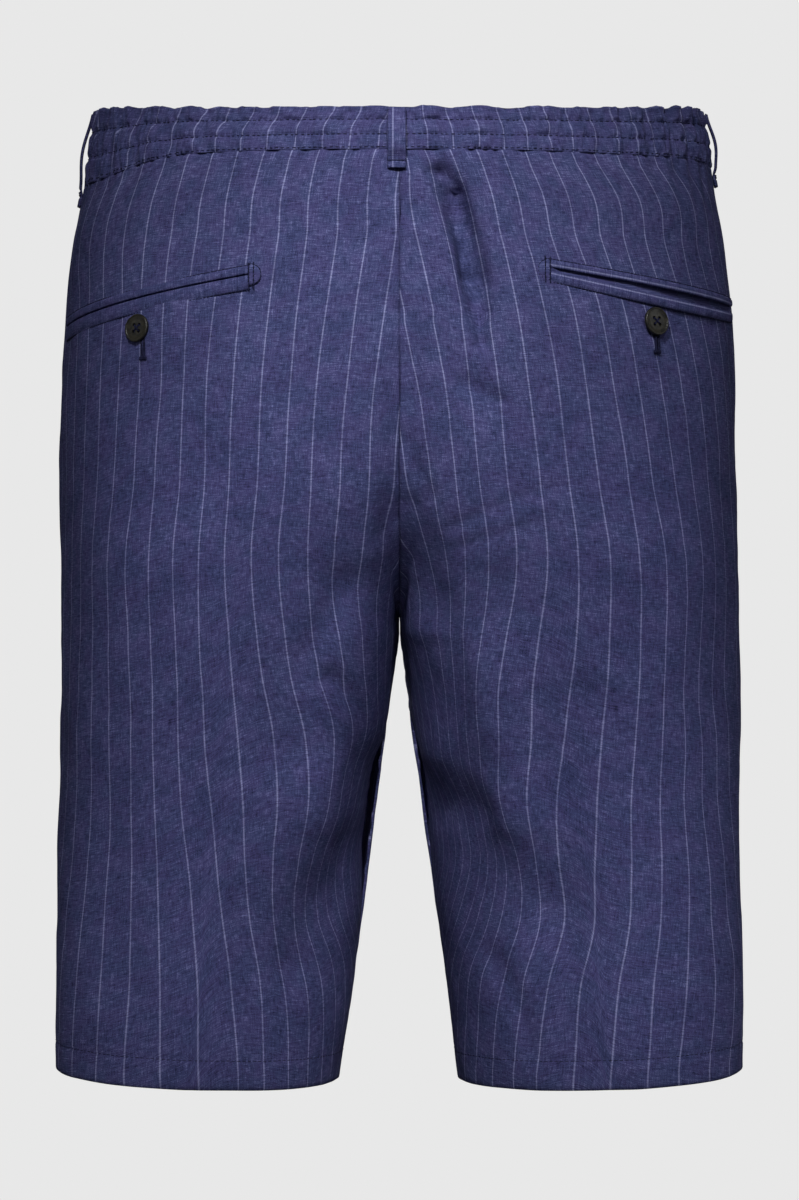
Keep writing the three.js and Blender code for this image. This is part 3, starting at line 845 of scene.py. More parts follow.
@dataclass
class LegPanel:
    """A back or front leg panel, from the waist seam to the hem."""

    form: GarmentForm
    stripes: StripePlan
    gather: Callable[[Array], Array]
    half: Half
    face: Face
    column_counts: dict[Face, int] = field(default_factory=lambda: {Face.BACK: 165, Face.FRONT: 111})
    seam_roll: float = 0.6
    seam_width: float = 1.2
    seam_pucker: float = 1.1
    pucker_base: float = 0.6
    pucker_swell: float = 1.3
    pucker_reach: float = 16
    seam_valley: float = 3.5
    edge_gap: float = 0.02
    overlap: float = 0.06
    mouth_lower_share: float = 0.4
    mouth_edge: float = 1.6
    hem_groove: float = 0.5
    groove_width: float = 0.9
    side_roll: float = 0.5
    waist_roll: float = 0.2
    valley_width: float = 12
    gather_creases: float = 0.5
    gather_relief: float = 1.1
    gather_reach: float = 15
    pull_width: float = 5.0
    waves: tuple[Triple, ...] = ((1.3, 52, 74), (0.6, 21, 30), (0.2, 8, 10))

    @property
    def node(self) -> str:
        """The panel's node."""
        return f"{self.face.label}_{self.half.label}"

    def rows(self) -> Array:
        """The rows' levels, closest at the pockets and the crotch."""
        form = self.form
        marks = (form.band_seam, -66, -116, form.crotch + 26, form.crotch, -420, form.hem)
        spacings = (2.0, 1.2, 2.6, 1.3, 2.0, 2.2)
        runs = [
            np.linspace(top, bottom, max(2, round((top - bottom) / spacing)), endpoint=False)
            for top, bottom, spacing in zip(marks, marks[1:], spacings)
        ]
        return np.concatenate([*runs, [form.hem]])

    def plain_grid(self) -> tuple[Array, Array, Array]:
        """The panel's plain outer face.

        Returns:
            The turns, the levels and the points of its grid.
        """
        rows = self.rows()
        inner = self.form.inner_turn(self.half, rows, self.face, self.edge_gap)
        share = np.linspace(0, 1, self.column_counts[self.face])
        turn = mix(self.form.side_seam, self.face.value * inner[:, None], share[None, :])
        level = self.form.row_level(rows[:, None], self.half, turn)
        return turn, level, self.form.point(self.half, turn, level)

    def mouth_sink(self, turn: Array, level: Array) -> Array:
        """How far the cloth sinks between the welts of the pocket."""
        place = POCKETS[self.half]
        start = self.form.turn_at_width(self.half, level, place.start)
        end = self.form.turn_at_width(self.half, level, place.end)
        share = (start - turn) / (start - end)
        within = smoothstep(share * 30) * smoothstep((1 - share) * 30)
        reach = place.mouth(clamp01(share)) / 2
        rise = level - place.level(clamp01(share))
        under_upper = mix(self.mouth_lower_share, 1.0, smoothstep((rise / reach + 0.6) / 1.4))
        beyond = smoothstep((np.abs(rise) - reach) / self.mouth_edge)
        return place.sink * within * under_upper * (1 - beyond)

    def relief(self, turn: Array, level: Array, points: Array) -> Array:
        """What stands out of or sinks into the panel's outer face.

        Args:
            turn: The turns of the grid.
            level: Its levels.
            points: Its plain points.

        Returns:
            The relief, in millimetres, positive outwards.
        """
        around, down = arc_lengths(points, 1), arc_lengths(points, 0)
        noise, fine = Lattice(7 + self.half.value), Lattice(21 + self.face.value)
        from_edge = around[:, -1:] - around
        pucker = self.pucker_base + self.pucker_swell * np.maximum(fine(down / 5, from_edge / 6), -0.3)
        relief = -self.seam_roll * bell(from_edge, self.seam_width) * pucker
        relief -= self.side_roll * bell(around, self.seam_width)
        relief -= self.waist_roll * bell(down, self.seam_width) * (1 + fine(around / 4, down / 9))
        wrinkles = self.form.crease_depth(points[..., 0], points[..., 2], WRINKLES[self.face])
        relief -= wrinkles * smoothstep((down - 2) / 9)
        gathered = self.gather_creases * (self.face is Face.BACK)
        relief += gathered * fine(around / 2.6 + 9, down / 7) * np.exp(-down / 7)
        over_seam = smoothstep((level - self.form.crotch) / 30) * np.exp(-from_edge / self.pucker_reach)
        relief += self.seam_pucker * noise(down / 11 + 3, from_edge / 15) * over_seam
        valley = smoothstep((-140 - level) / 70) * smoothstep((level + 262) / 20)
        relief -= self.seam_valley * bell(from_edge, self.valley_width) * valley
        stitch = self.stitch_level(turn)
        along_hem = 1 + 0.6 * fine(around / 3.5, level * 0)
        relief -= self.hem_groove * bell(level - stitch, self.groove_width) * along_hem
        for depth, across, along in self.waves:
            relief += depth * noise(around / across + depth, down / along) * smoothstep(down / 30)
        if self.face is Face.BACK:
            angle = turn if self.half is Half.LEFT else math.pi - turn
            gathers = self.gather(angle) * np.exp(-down / self.gather_reach)
            relief += self.gather_relief * gathers * smoothstep(down / 3)
            relief -= self.mouth_sink(turn, level)
        return relief

    def stitch_level(self, turn: Array) -> Array:
        """The level of the hem's stitching."""
        return self.form.hem + self.form.hem_band + self.form.hem_tilt * np.cos(turn)

    def close_seam(self, plain: Array, moved: Array) -> Array:
        """Bring the edge back to the seam's plane after its relief.

        Args:
            plain: The grid before its relief.
            moved: The grid after it.

        Returns:
            The moved grid with its last column on the seam's plane.
        """
        above = (self.rows() > self.form.crotch)[:, None]
        from_edge = arc_lengths(plain, 1)[:, -1:] - arc_lengths(plain, 1)
        near_edge = bell(from_edge, self.pull_width)
        pull = (plain - moved)[:, -1:] * near_edge[..., None]
        moved = moved.copy()
        pull[..., 0] -= self.half.value * self.overlap * near_edge
        moved[..., 0] += np.where(above, pull[..., 0], 0)
        moved[..., 1] += np.where(above, 0, pull[..., 1])
        return moved

    def build(self) -> Object:
        """Make the panel's closed wall.

        Returns:
            The panel.
        """
        turn, level, plain = self.plain_grid()
        direction = -self.half.value * self.face.value * grid_normals(plain)
        direction[..., 2] *= self.form.tilt_share(level)
        direction = MeshMaker.unit(direction)
        around, down = arc_lengths(plain, 1), arc_lengths(plain, 0)
        relief = self.relief(turn, level, plain)
        in_hem = smoothstep((self.form.hem + self.form.hem_band - self.rows()[:, None]) / 1.5)
        cloth = mix(self.form.cloth, self.form.hem_cloth, in_hem)
        outer = self.close_seam(plain, plain + direction * relief[..., None])
        inner = self.close_seam(plain, plain - direction * (cloth - np.minimum(relief, 0))[..., None])
        self.surface = Surface(outer, level)
        count = self.stripes.count(self.half, self.face, self.rows()[:, None], around)
        if self.face is Face.BACK:
            # Painted shade: inside the pocket's mouth the count is moved between two stripes, so no pale
            # stripe shows on the sunken cloth there.
            painted_mouth_shade = clamp01(2 * self.mouth_sink(turn, level) / POCKETS[self.half].sink)
            count = mix(count, np.floor(count) + 0.5, painted_mouth_shade)
        uv = np.stack([count, -down / CLOTH_UNIT], axis=-1)
        return MeshMaker.wall(self.node, outer, inner, uv, (0, 0, 0.9, 0))

    def hem_stitches(self) -> Array:
        """The line of the hem's stitching."""
        return self.surface.line_at(self.stitch_level(self.plain_grid()[0][-1]))


@dataclass
class Waistband:
    """The gathered back band and the two flat front bands, which overlap at the centre front."""

    form: GarmentForm
    stripes: StripePlan
    cloth: float = 2.6
    proud: float = 1.0
    overlap: float = 18
    gathers: int = 46
    gather_depth: float = 1.1
    seam_gap: float = 0.3
    button_place: float = 0.4
    stitch_rows: tuple[float, float] = (0.36, 0.72)
    rows: int = 33
    wave_relief: float = 1.5
    crumple: float = 0.95
    channel_width: float = 0.05
    channel_depth: float = 0.9
    dimple_depth: float = 0.8
    seam_hold: float = 0.06
    groove_width: float = 0.07
    seam_standing: float = 0.1
    pucker_reach: float = 0.15
    frill_relief: float = 1.4
    stripe_leans: dict[Half, float] = field(default_factory=lambda: {Half.LEFT: 0.4, Half.RIGHT: 0.24})

    def place(self, angle: Array) -> tuple[Array, Array]:
        """The sign of the half and the turn at an angle round the whole waist."""
        wrapped = np.arctan2(np.sin(angle), np.cos(angle))
        return np.where(np.cos(wrapped) >= 0, 1, -1), np.arcsin(np.sin(wrapped))

    def point(self, angle: Array, height: Array, distance: Array) -> Array:
        """Places off the waist: height runs from 0 at the seam to 1 at the top edge."""
        angle, height, distance = np.broadcast_arrays(angle, height, distance)
        sign, turn = self.place(angle)
        places = np.zeros((*angle.shape, 3))
        for half in Half:
            level = mix(self.form.waist_seam(half, turn) + 0.03, self.form.waist_top(turn), height)
            found = self.form.off_cloth(half, turn, level, distance)
            places = np.where((sign == half.value)[..., None], found, places)
        return places

    def gather(self, angle: Array) -> Array:
        """Uneven gathers of the elastic back, fading out at the side seams."""
        even = np.sin(self.gathers * angle + 1.6 * np.sin(5 * angle) + 0.9 * np.sin(11 * angle + 1))
        strength = 0.65 + 0.35 * np.sin(7 * angle + 2)
        return self.gather_depth * even * strength * self.in_elastic(angle)

    @staticmethod
    def in_elastic(angle: Array) -> Array:
        """1 on the elastic back, easing to 0 at the side seams and on the front."""
        return smoothstep(np.sin(angle) / 0.2)

    def stripe_count(self, angle: Array, height: Array) -> Array:
        """The stripe count round the band, carried up from the panels below it.

        Args:
            angle: The angles round the waist.
            height: The heights on the band.

        Returns:
            The count at each place.
        """
        angle, height = np.broadcast_arrays(angle, height)
        sign, turn = self.place(angle)
        count = np.zeros(angle.shape)
        seam = self.form.side_seam
        lean = 0.2 * height + 0.8 * smoothstep((height - 0.45) / 0.55)
        for half in Half:
            for face, reach in ((Face.BACK, math.pi / 2), (Face.FRONT, -math.pi / 2)):
                fine = np.linspace(seam, reach, 400)
                line = self.form.point(half, fine, np.full(fine.shape, self.form.band_seam - 4))
                arc = arc_lengths(line[None], 1)[0]
                at = np.interp(face.value * turn, face.value * fine, arc)
                level = np.full(at.shape, self.form.band_seam - 6)
                found = self.stripes.count(half, face, level, at)
                found = found - (face is Face.BACK) * self.stripe_leans[half] * lean
                is_here = (sign == half.value) & ((turn >= seam) == (face is Face.BACK))
                count = np.where(is_here, found, count)
        return count

    def band(
        self, name: str, span: tuple[float, float], columns: int, offset: Callable[[Array], Array]
    ) -> Object:
        """Make one band between two angles.

        Args:
            name: The node that it stands for.
            span: The angles of its ends.
            columns: The number of columns.
            offset: How far the band stands off the waist at an angle.

        Returns:
            The band.
        """
        angle = np.linspace(*span, columns)[None, :]
        height = np.linspace(0, 1, self.rows)[::-1, None]
        elastic = self.in_elastic(angle)
        low, high = self.stitch_rows
        by_low, by_high = height - low, height - high
        channels = np.minimum(bell(by_low, self.channel_width) + bell(by_high, self.channel_width), 1)
        hold = np.minimum(bell(height, self.seam_hold) + channels, 1)
        wave = self.gather(angle)
        dimples = np.maximum(Lattice(5)(angle * 60, height * 6), 0)
        fine = Lattice(9)(angle * 55, height * 3)
        relief = wave * self.wave_relief * (1 - 0.6 * hold) + self.crumple * fine * elastic
        relief = relief - self.channel_depth * channels - self.dimple_depth * channels * dimples * elastic
        relief = relief - (0.1 + 0.55 * dimples) * bell(height, self.groove_width)
        standing = offset(angle)
        from_seam = mix(self.seam_standing, standing, smoothstep(height / 0.3))
        standing = np.where(standing > 0, from_seam, standing)
        frill = smoothstep((height - 0.74) / 0.06) * smoothstep((1 - height) / 0.1)
        by_rows = sum(bell(rise, self.pucker_reach) for rise in (by_low, by_high, height))
        puckers = (0.2 + 0.75 * by_rows) * Lattice(19)(angle * 70, height * 5)
        ruffle = self.frill_relief * frill * Lattice(17)(angle * 60, height * 3)
        relief = relief + (puckers + ruffle) * elastic
        outer = self.point(angle, height, standing + relief)
        inner = self.point(angle, height, offset(angle) - self.cloth + 0 * height)
        lift = (0.6 * wave + 0.5 * np.maximum(fine, 0) * elastic) * smoothstep((height - 0.75) / 0.25)
        outer[..., 2] += lift
        inner[..., 2] += lift
        count = self.stripe_count(angle, height) + 0.03 * fine * elastic
        uv = np.stack(np.broadcast_arrays(count, height * 30 / CLOTH_UNIT), axis=-1)
        self.surfaces[name] = Surface(outer, np.broadcast_to(height, outer.shape[:2]))
        return MeshMaker.wall(name, outer, inner, uv, (0.8, 0, 0, 0))

    @property
    def reach(self) -> float:
        """The angle of the overlap on each side of the centre front."""
        return self.overlap / float(self.form.side_width(0.0))

    def build(self) -> list[tuple[str, Object, Surface]]:
        """Make the three bands.

        Returns:
            The node, the piece and the outer face of the back band and of the left and right front bands.
        """
        self.surfaces: dict[str, Surface] = {}
        seam, gap, front = self.form.side_seam, 0.0005, -math.pi / 2

        def under(angle: Array) -> Array:
            """How far the under band stands off: it slips behind the other at the overlap."""
            share = smoothstep((angle - front) / self.reach + 2.2)
            return self.proud - share * (self.cloth + self.seam_gap)

        def flat(angle: Array) -> Array:
            """How far the other bands stand off."""
            return np.full(np.shape(angle), self.proud)

        bands = (
            ("waistband_back", (seam + gap, math.pi - seam - gap), 620, flat),
            ("waistband_front_left", (front - self.reach, seam - gap), 150, flat),
            ("waistband_front_right", (-math.pi - seam + gap, front + self.reach), 160, under),
        )
        pieces = [(name, self.band(name, span, columns, offset)) for name, span, columns, offset in bands]
        return [(name, piece, self.surfaces[name]) for name, piece in pieces]

    def stitch_lines(self, name: str) -> list[Array]:
        """The lines of a band's stitching: the elastic's channels, or the edges of a front band."""
        surface = self.surfaces[name]
        heights = (0.05, *self.stitch_rows) if name == "waistband_back" else (0.08, 0.93)
        return [surface.line_at(np.full(surface.points.shape[1], height)) for height in heights]

    def button_seat(self) -> tuple[Vector, Vector]:
        """The place and the direction of the button at the centre front."""
        angle = np.array(-math.pi / 2 - self.reach * self.button_place)
        sign, turn = self.place(angle)
        half = Half(int(sign))
        seat = self.point(angle, np.array(0.5), np.array(self.proud))
        direction = self.form.normal(half, turn, np.array(0.0))
        return Vector(seat.tolist()), Vector(direction.tolist())


@dataclass
class BeltLoop:
    """A belt loop, from the band's top edge to its folded end below the waist seam."""

    form: GarmentForm
    band: Waistband
    name: str
    angle: float
    seat: float
    stripe_at: float = 0.42
    width: float = 9.0
    cloth: float = 1.5
    bow: float = 2.2
    below_seam: float = 10.0
    fold_edges: tuple[tuple[float, float], ...] = ((0.83, 0.012), (0.9, 0.01))
    tack_shares: tuple[float, float] = (0.85, 0.88)
    rows: int = 67
    columns: int = 17

    def spread(self) -> Array:
        """The angles across the loop, evenly spaced round the waist."""
        fine = np.linspace(self.angle - 0.12, self.angle + 0.12, 481)
        arc = arc_lengths(self.band.point(fine, 0.0, 0.0)[None], 1)[0]
        middle = np.interp(self.angle, fine, arc)
        across = np.linspace(-self.width / 2, self.width / 2, self.columns)
        return np.interp(middle + across, arc, fine)

    def build(self) -> Object:
        """Make the loop's closed strip.

        Returns:
            The loop.
        """
        angle = self.spread()[None, :]
        across = np.linspace(-1, 1, self.columns)[None, :]
        share = np.linspace(0, 1, self.rows)[:, None]
        sign, turn = self.band.place(angle)
        fold_edge = sum(bell(share - middle, width) for middle, width in self.fold_edges)
        crown = 1 + 0.35 * smoothstep((share - 0.82) / 0.03) - 0.45 * np.abs(across) ** 4
        height = self.cloth * (crown - 0.45 * fold_edge - 0.22 * bell(np.abs(across) - 0.74, 0.1))
        layers = []
        for rise in (height, 0 * height):
            grid = np.zeros((self.rows, self.columns, 3))
            for half in Half:
                seam = self.form.waist_seam(half, turn)
                z = mix(self.form.waist_top(turn) - 0.5, seam - self.below_seam, share)
                on_panel = smoothstep((seam + 1 - z) / 6)
                bow = self.bow * np.sin(math.pi * clamp01(share / 0.85)) ** 2
                found = self.form.off_cloth(half, turn + 0 * z, z, mix(self.seat, 0.3, on_panel) + bow + rise)
                grid = np.where((sign == half.value)[..., None], found, grid)
            layers.append(grid)
        self.surface = Surface(layers[0], np.broadcast_to(-share, layers[0].shape[:2]))
        stripe = self.stripe_at + across * self.width / 2 / CLOTH_UNIT
        uv = np.stack(np.broadcast_arrays(stripe, -share * 2.4), axis=-1)
        return MeshMaker.wall(f"belt_loop_{self.name}", layers[0], layers[1], uv, (0.4, 0.3, 0.4, 0.3))

    def tack_lines(self) -> list[Array]:
        """The bar tacks across the loop's folded end."""
        return [self.surface.line_at(np.full(self.columns, -share)) for share in self.tack_shares]


@dataclass
class BackPocket:
    """A back pocket's double-welt mouth, its D-shaped tack, its button and its buttonhole."""

    form: GarmentForm
    half: Half
    cloth: float = 1.3
    gap: float = 0.3
    tack_width: float = 6.0
    tack_height: float = 11.5
    hole_top: float = 5.5
    hole_bottom: float = 15.5
    hole_half_width: float = 0.75
    bar_half_width: float = 1.5
    bar_drop: float = 0.7
    end_bars: tuple[float, float] = (-0.016, -0.001)
    satin_lift: float = 0.35
    seam_lift: float = 0.3
    rim_lift: float = 0.45

    @property
    def name(self) -> str:
        """The start of the pocket's node names."""
        return f"pocket_{self.half.label}"

    @property
    def place(self) -> PocketPlace:
        """Where the pocket lies."""
        return POCKETS[self.half]

    def point(self, share: Array, rise: Array, distance: Array) -> Array:
        """Places on the pocket: share runs along the mouth and rise is the height above its middle line."""
        share, rise, distance = np.broadcast_arrays(share, rise, distance)
        z = self.place.level(share) + rise
        start = self.form.turn_at_width(self.half, z, self.place.start)
        end = self.form.turn_at_width(self.half, z, self.place.end)
        return self.form.off_cloth(self.half, mix(start, end, share), z, distance)

    def welt(self, name: str, side: int, height: float) -> Object:
        """Make one welt as a rounded strip.

        Args:
            name: The node that it stands for.
            side: 1 above the mouth and -1 below it.
            height: The welt's height.

        Returns:
            The welt.
        """
        share = np.linspace(0, 1, 141)[None, :]
        out = np.linspace(1, 0, 17)[:, None] if side > 0 else np.linspace(0, 1, 17)[:, None]
        crown = 1 - 0.85 * out**5 - 0.3 * (1 - out) ** 5
        rise = side * (self.place.mouth(share) / 2 + height * out)
        wave = 0.18 * Lattice(13 + side)(share * 13, out * 2)
        outer = self.point(share, rise, self.gap + self.cloth * crown + wave * out * (1 - out) * 4)
        inner = self.point(share, rise, self.gap - 0.1 + 0 * out)
        stripe = self.place.welt_stripe + out * height / CLOTH_UNIT
        uv = np.stack(np.broadcast_arrays(stripe, share * 9), axis=-1)
        seam = side * (self.place.mouth(share[0]) / 2 + height)
        self.lines.append(self.point(share[0], seam, self.gap + self.seam_lift))
        return MeshMaker.wall(name, outer, inner, uv, (0.3, 0.2, 0.3, 0.2))

    def tack_outline(self, out: Array, up: Array) -> tuple[Array, Array]:
        """The turn and level at places on the D, out from the mouth's end and up it."""
        half_height = self.tack_height / 2 * np.sqrt(1 - 0.93 * out * out)
        z = self.place.levels[0] + half_height * up
        turn = self.form.turn_at_width(self.half, z, self.place.start - self.gap - out * self.tack_width)
        return turn, z

    def tack(self) -> Object:
        """Make the stitched D at the mouth's inner end.

        Returns:
            The tack.
        """
        out, up = np.linspace(0, 1, 17)[:, None], np.linspace(-1, 1, 17)[None, :]
        turn, z = self.tack_outline(out, up)
        crown = 1 - 0.75 * np.abs(up) ** 5 - 0.5 * out**6 - 0.3 * (1 - out) ** 8
        outer = self.form.off_cloth(self.half, turn, z, self.gap + self.cloth * crown)
        inner = self.form.off_cloth(self.half, turn, z, self.gap - 0.1 + 0 * z)
        uv = np.stack(np.broadcast_arrays(0.5 + 0.1 * out, z / CLOTH_UNIT), axis=-1)
        round_rim = np.linspace(0, math.pi, 40)
        rim_out, rim_up = np.sin(round_rim), -np.cos(round_rim)
        rim_turn, rim_z = self.tack_outline(rim_out * 0.98, np.sign(rim_up) * 0.96)
        lift = np.full(rim_z.shape, self.gap + self.rim_lift)
        self.lines.append(self.form.off_cloth(self.half, rim_turn, rim_z, lift))
        return MeshMaker.wall(f"{self.name}_tack", outer, inner, uv, (0.3, 0.3, 0.3, 0.3))

    def frame_at(self, x: float, z: float) -> tuple[Vector, Vector]:
        """The cloth's place and outward normal at (x, z), where x is the distance from the centre."""
        turn = self.form.turn_at_width(self.half, np.array(z), np.array(x))
        place = self.form.point(self.half, turn, np.array(z))
        return Vector(place.tolist()), Vector(self.form.normal(self.half, turn, np.array(z)).tolist())

    def buttonhole(self) -> None:
        """Draw the satin lines of the buttonhole, which runs down from behind the button."""
        x, z = self.place.button
        top, bottom = z - self.hole_top, z - self.hole_bottom
        for side in (-1, 1):
            along = np.linspace(top, bottom, 12)
            beside = x + side * self.hole_half_width + self.place.hole_shift
            self.satin.append(self.lifted(np.full(12, beside), along))
        across = np.linspace(-self.bar_half_width, self.bar_half_width, 5) + x + self.place.hole_shift
        for level in (bottom, bottom - self.bar_drop):
            self.satin.append(self.lifted(across, np.full(5, level)))

    def end_bar(self) -> None:
        """Draw the sewn bar across both welts at the mouth's inner end."""
        half_mouth = self.place.mouth(0.0) / 2
        rise = np.linspace(half_mouth + self.place.upper, -half_mouth - self.place.lower, 16)
        for share in self.end_bars:
            self.lines.append(self.point(np.full(16, share), rise, np.full(16, self.gap + self.cloth)))

    def lifted(self, x: Array, z: Array) -> Array:
        """Places at distances x from the centre and levels z, just off the cloth."""
        turn = self.form.turn_at_width(self.half, z, x)
        return self.form.off_cloth(self.half, turn, z, np.full(np.shape(z), self.satin_lift))

    def build(self) -> list[Object]:
        """Make the welts and the tack.

        Returns:
            The upper welt, the lower welt and the tack.
        """
        self.lines: list[Array] = []
        self.satin: list[Array] = []
        self.buttonhole()
        self.end_bar()
        return [
            self.welt(f"{self.name}_welt_upper", 1, self.place.upper),
            self.welt(f"{self.name}_welt_lower", -1, self.place.lower),
            self.tack(),
        ]


@dataclass
class Fly:
    """The shield behind the centre front, and the stitching that shows beside the seam."""

    form: GarmentForm
    half_width: float = 20
    top: float = -17.5
    bottom: float = -175
    cloth: float = 1.0
    behind: float = 0.9
    stitch_width: float = 34
    stitch_bottom: float = -158

    def place(self, x: Array, z: Array, distance: float) -> Array:
        """Places off the front cloth at distances x from the centre, with their sign, and levels z."""
        x, z = np.broadcast_arrays(x, z)
        places = np.zeros((*x.shape, 3))
        for half in Half:
            turn = self.form.turn_at_width(half, z, np.abs(x), Face.FRONT)
            found = self.form.off_cloth(half, turn, z, np.full(x.shape, distance))
            places = np.where((np.where(x >= 0, 1, -1) == half.value)[..., None], found, places)
        return places

    def shield(self) -> Object:
        """Make the shield.

        Returns:
            The shield.
        """
        x = np.linspace(-self.half_width, self.half_width, 25)[None, :]
        z = np.linspace(self.top, self.bottom, 60)[:, None]
        front = -self.form.cloth - self.behind
        outer, inner = self.place(x, z, front), self.place(x, z, front - self.cloth)
        self.surface = Surface(outer, np.broadcast_to(z, outer.shape[:2]))
        uv = np.stack(np.broadcast_arrays(x / CLOTH_UNIT, z / CLOTH_UNIT), axis=-1)
        return MeshMaker.wall("fly_shield", outer, inner, uv, (0.2, 0.2, 0.2, 0.2))

    def stitch_line(self) -> Array:
        """The curved line of stitches on the left front."""
        straight = np.linspace(self.top, self.stitch_bottom + self.stitch_width, 60)
        angle = np.linspace(0, math.pi / 2, 24)[1:]
        z = np.concatenate([straight, self.stitch_bottom + self.stitch_width * (1 - np.sin(angle))])
        x = np.concatenate([np.full(60, self.stitch_width), self.stitch_width * np.cos(angle) + 0.5])
        return self.place(x, z, 0.05)


@dataclass
class Button:
    """A four-hole button with a raised rim and a dished middle, sewn on with a cross of thread."""

    radius: float = 7.5
    thickness: float = 2.6
    rim_width: float = 1.5
    dish: float = 0.7
    hole_radius: float = 0.95
    hole_spacing: float = 1.7
    sides: int = 64
    seat: float = 0.3
    strand: float = 0.21

    def profile(self) -> list[tuple[float, float]]:
        """The button's half section, as (radius, height) from the middle of its top to that of its back."""
        top, rim = self.thickness, self.rim_width / 2
        arc = np.linspace(-0.9, math.pi / 2, 7)
        bead = [(self.radius - rim + rim * math.sin(a), top - rim + rim * math.cos(a)) for a in arc]
        dished = [(0.0, top - self.dish), (self.radius * 0.35, top - self.dish)]
        dished.append((self.radius * 0.62, top - self.dish * 0.85))
        back = [(self.radius - 0.1, 0.9), (self.radius - 0.8, 0.25), (self.radius - 1.8, 0.0), (0.0, 0.0)]
        return [*dished, *bead, *back]

    def turned_body(self) -> bmesh.types.BMesh:
        """The button's body without holes, turned from its profile."""
        body = bmesh.new()
        rings = []
        angles = np.linspace(0, 2 * math.pi, self.sides, endpoint=False)
        for radius, height in self.profile():
            stations = angles if radius else [0.0]
            places = [(radius * math.cos(a), radius * math.sin(a), height) for a in stations]
            rings.append([body.verts.new(place) for place in places])
        for upper, lower in zip(rings, rings[1:]):
            for k in range(self.sides):
                after = (k + 1) % self.sides
                corners = (upper[k % len(upper)], lower[k % len(lower)])
                corners += (lower[after % len(lower)], upper[after % len(upper)])
                body.faces.new(list(dict.fromkeys(corners)))
        bmesh.ops.recalc_face_normals(body, faces=body.faces)
        return body

    def hole_centres(self) -> list[tuple[float, float]]:
        """The centres of the four holes."""
        signs = ((1, 1), (-1, 1), (-1, -1), (1, -1))
        return [(u * self.hole_spacing, v * self.hole_spacing) for u, v in signs]

    def drills(self) -> bmesh.types.BMesh:
        """The four rods that cut the holes."""
        rods = bmesh.new()
        for x, y in self.hole_centres():
            made = bmesh.ops.create_cone(
                rods, cap_ends=True, segments=16, radius1=self.hole_radius, radius2=self.hole_radius, depth=8
            )
            bmesh.ops.translate(rods, verts=made["verts"], vec=(x, y, 1))
        return rods

    def build(self, name: str, seat: Vector, direction: Vector) -> Object:
        """Make the button on its seat.

        Args:
            name: The object's name.
            seat: The cloth's place under its middle, in millimetres.
            direction: The way its face looks.

        Returns:
            The button.
        """
        body = MeshMaker.object_from_bmesh(name, self.turned_body())
        tool = MeshMaker.object_from_bmesh("drills", self.drills())
        cut = body.modifiers.new("holes", "BOOLEAN")
        cut.operation, cut.solver, cut.object = "DIFFERENCE", "EXACT", tool
        drilled = MeshMaker.evaluated_mesh(body)
        body.modifiers.clear()
        body.data = drilled
        bpy.data.objects.remove(tool)
        drilled.transform(self.placing(seat, direction))
        return body

    def placing(self, seat: Vector, direction: Vector) -> Matrix:
        """The transform from the button's own frame, in millimetres, to its place, in metres."""
        turned = direction.to_track_quat("Z", "Y").to_matrix().to_4x4()
        return Matrix.Scale(MM, 4) @ Matrix.Translation(seat + direction * self.seat) @ turned

    def thread(self, name: str, seat: Vector, direction: Vector) -> Object:
        """Make the crossed thread over the middle of the button.

        Args:
            name: The object's name.
            seat: The cloth's place under its middle, in millimetres.
            direction: The way its face looks.

        Returns:
            The thread.
        """
        strands = bmesh.new()
        centres = self.hole_centres()
        top = self.thickness - self.dish
        for first, second in ((0, 2), (1, 3)):
            for shift in (-self.strand, self.strand):
                (x0, y0), (x1, y1) = centres[first], centres[second]
                line = Vector((x1 - x0, y1 - y0, 0))
                side = Vector((-line.y, line.x, 0)).normalized() * shift
                lift = self.strand * (0.9 if first == 0 else 1.7)
                stations = [(0, -1.2), (0.06, 0.0), (0.2, lift), (0.8, lift), (0.94, 0.0), (1, -1.2)]
                path = [Vector((x0, y0, top + up)) + line * share + side for share, up in stations]
                MeshMaker.add_tube(strands, path, self.strand)
        made = MeshMaker.object_from_bmesh(name, strands)
        made.data.transform(self.placing(seat, direction))
        return made


@dataclass(frozen=True)
class Stitch:
    """One kind of stitch, in millimetres. lean is how far each may lean at random, in radians."""

    pitch: float
    length: float
    radius: float
    lean: float


HEM_STITCH = Stitch(pitch=2.9, length=2.3, radius=0.24, lean=0.12)
BAND_STITCH = Stitch(pitch=3.1, length=2.3, radius=0.34, lean=0.25)
LOOP_STITCH = Stitch(pitch=0.8, length=1.4, radius=0.2, lean=0.3)
WELT_STITCH = Stitch(pitch=2.0, length=2.1, radius=0.4, lean=0.06)
SATIN_STITCH = Stitch(pitch=0.45, length=1.1, radius=0.75, lean=0.35)


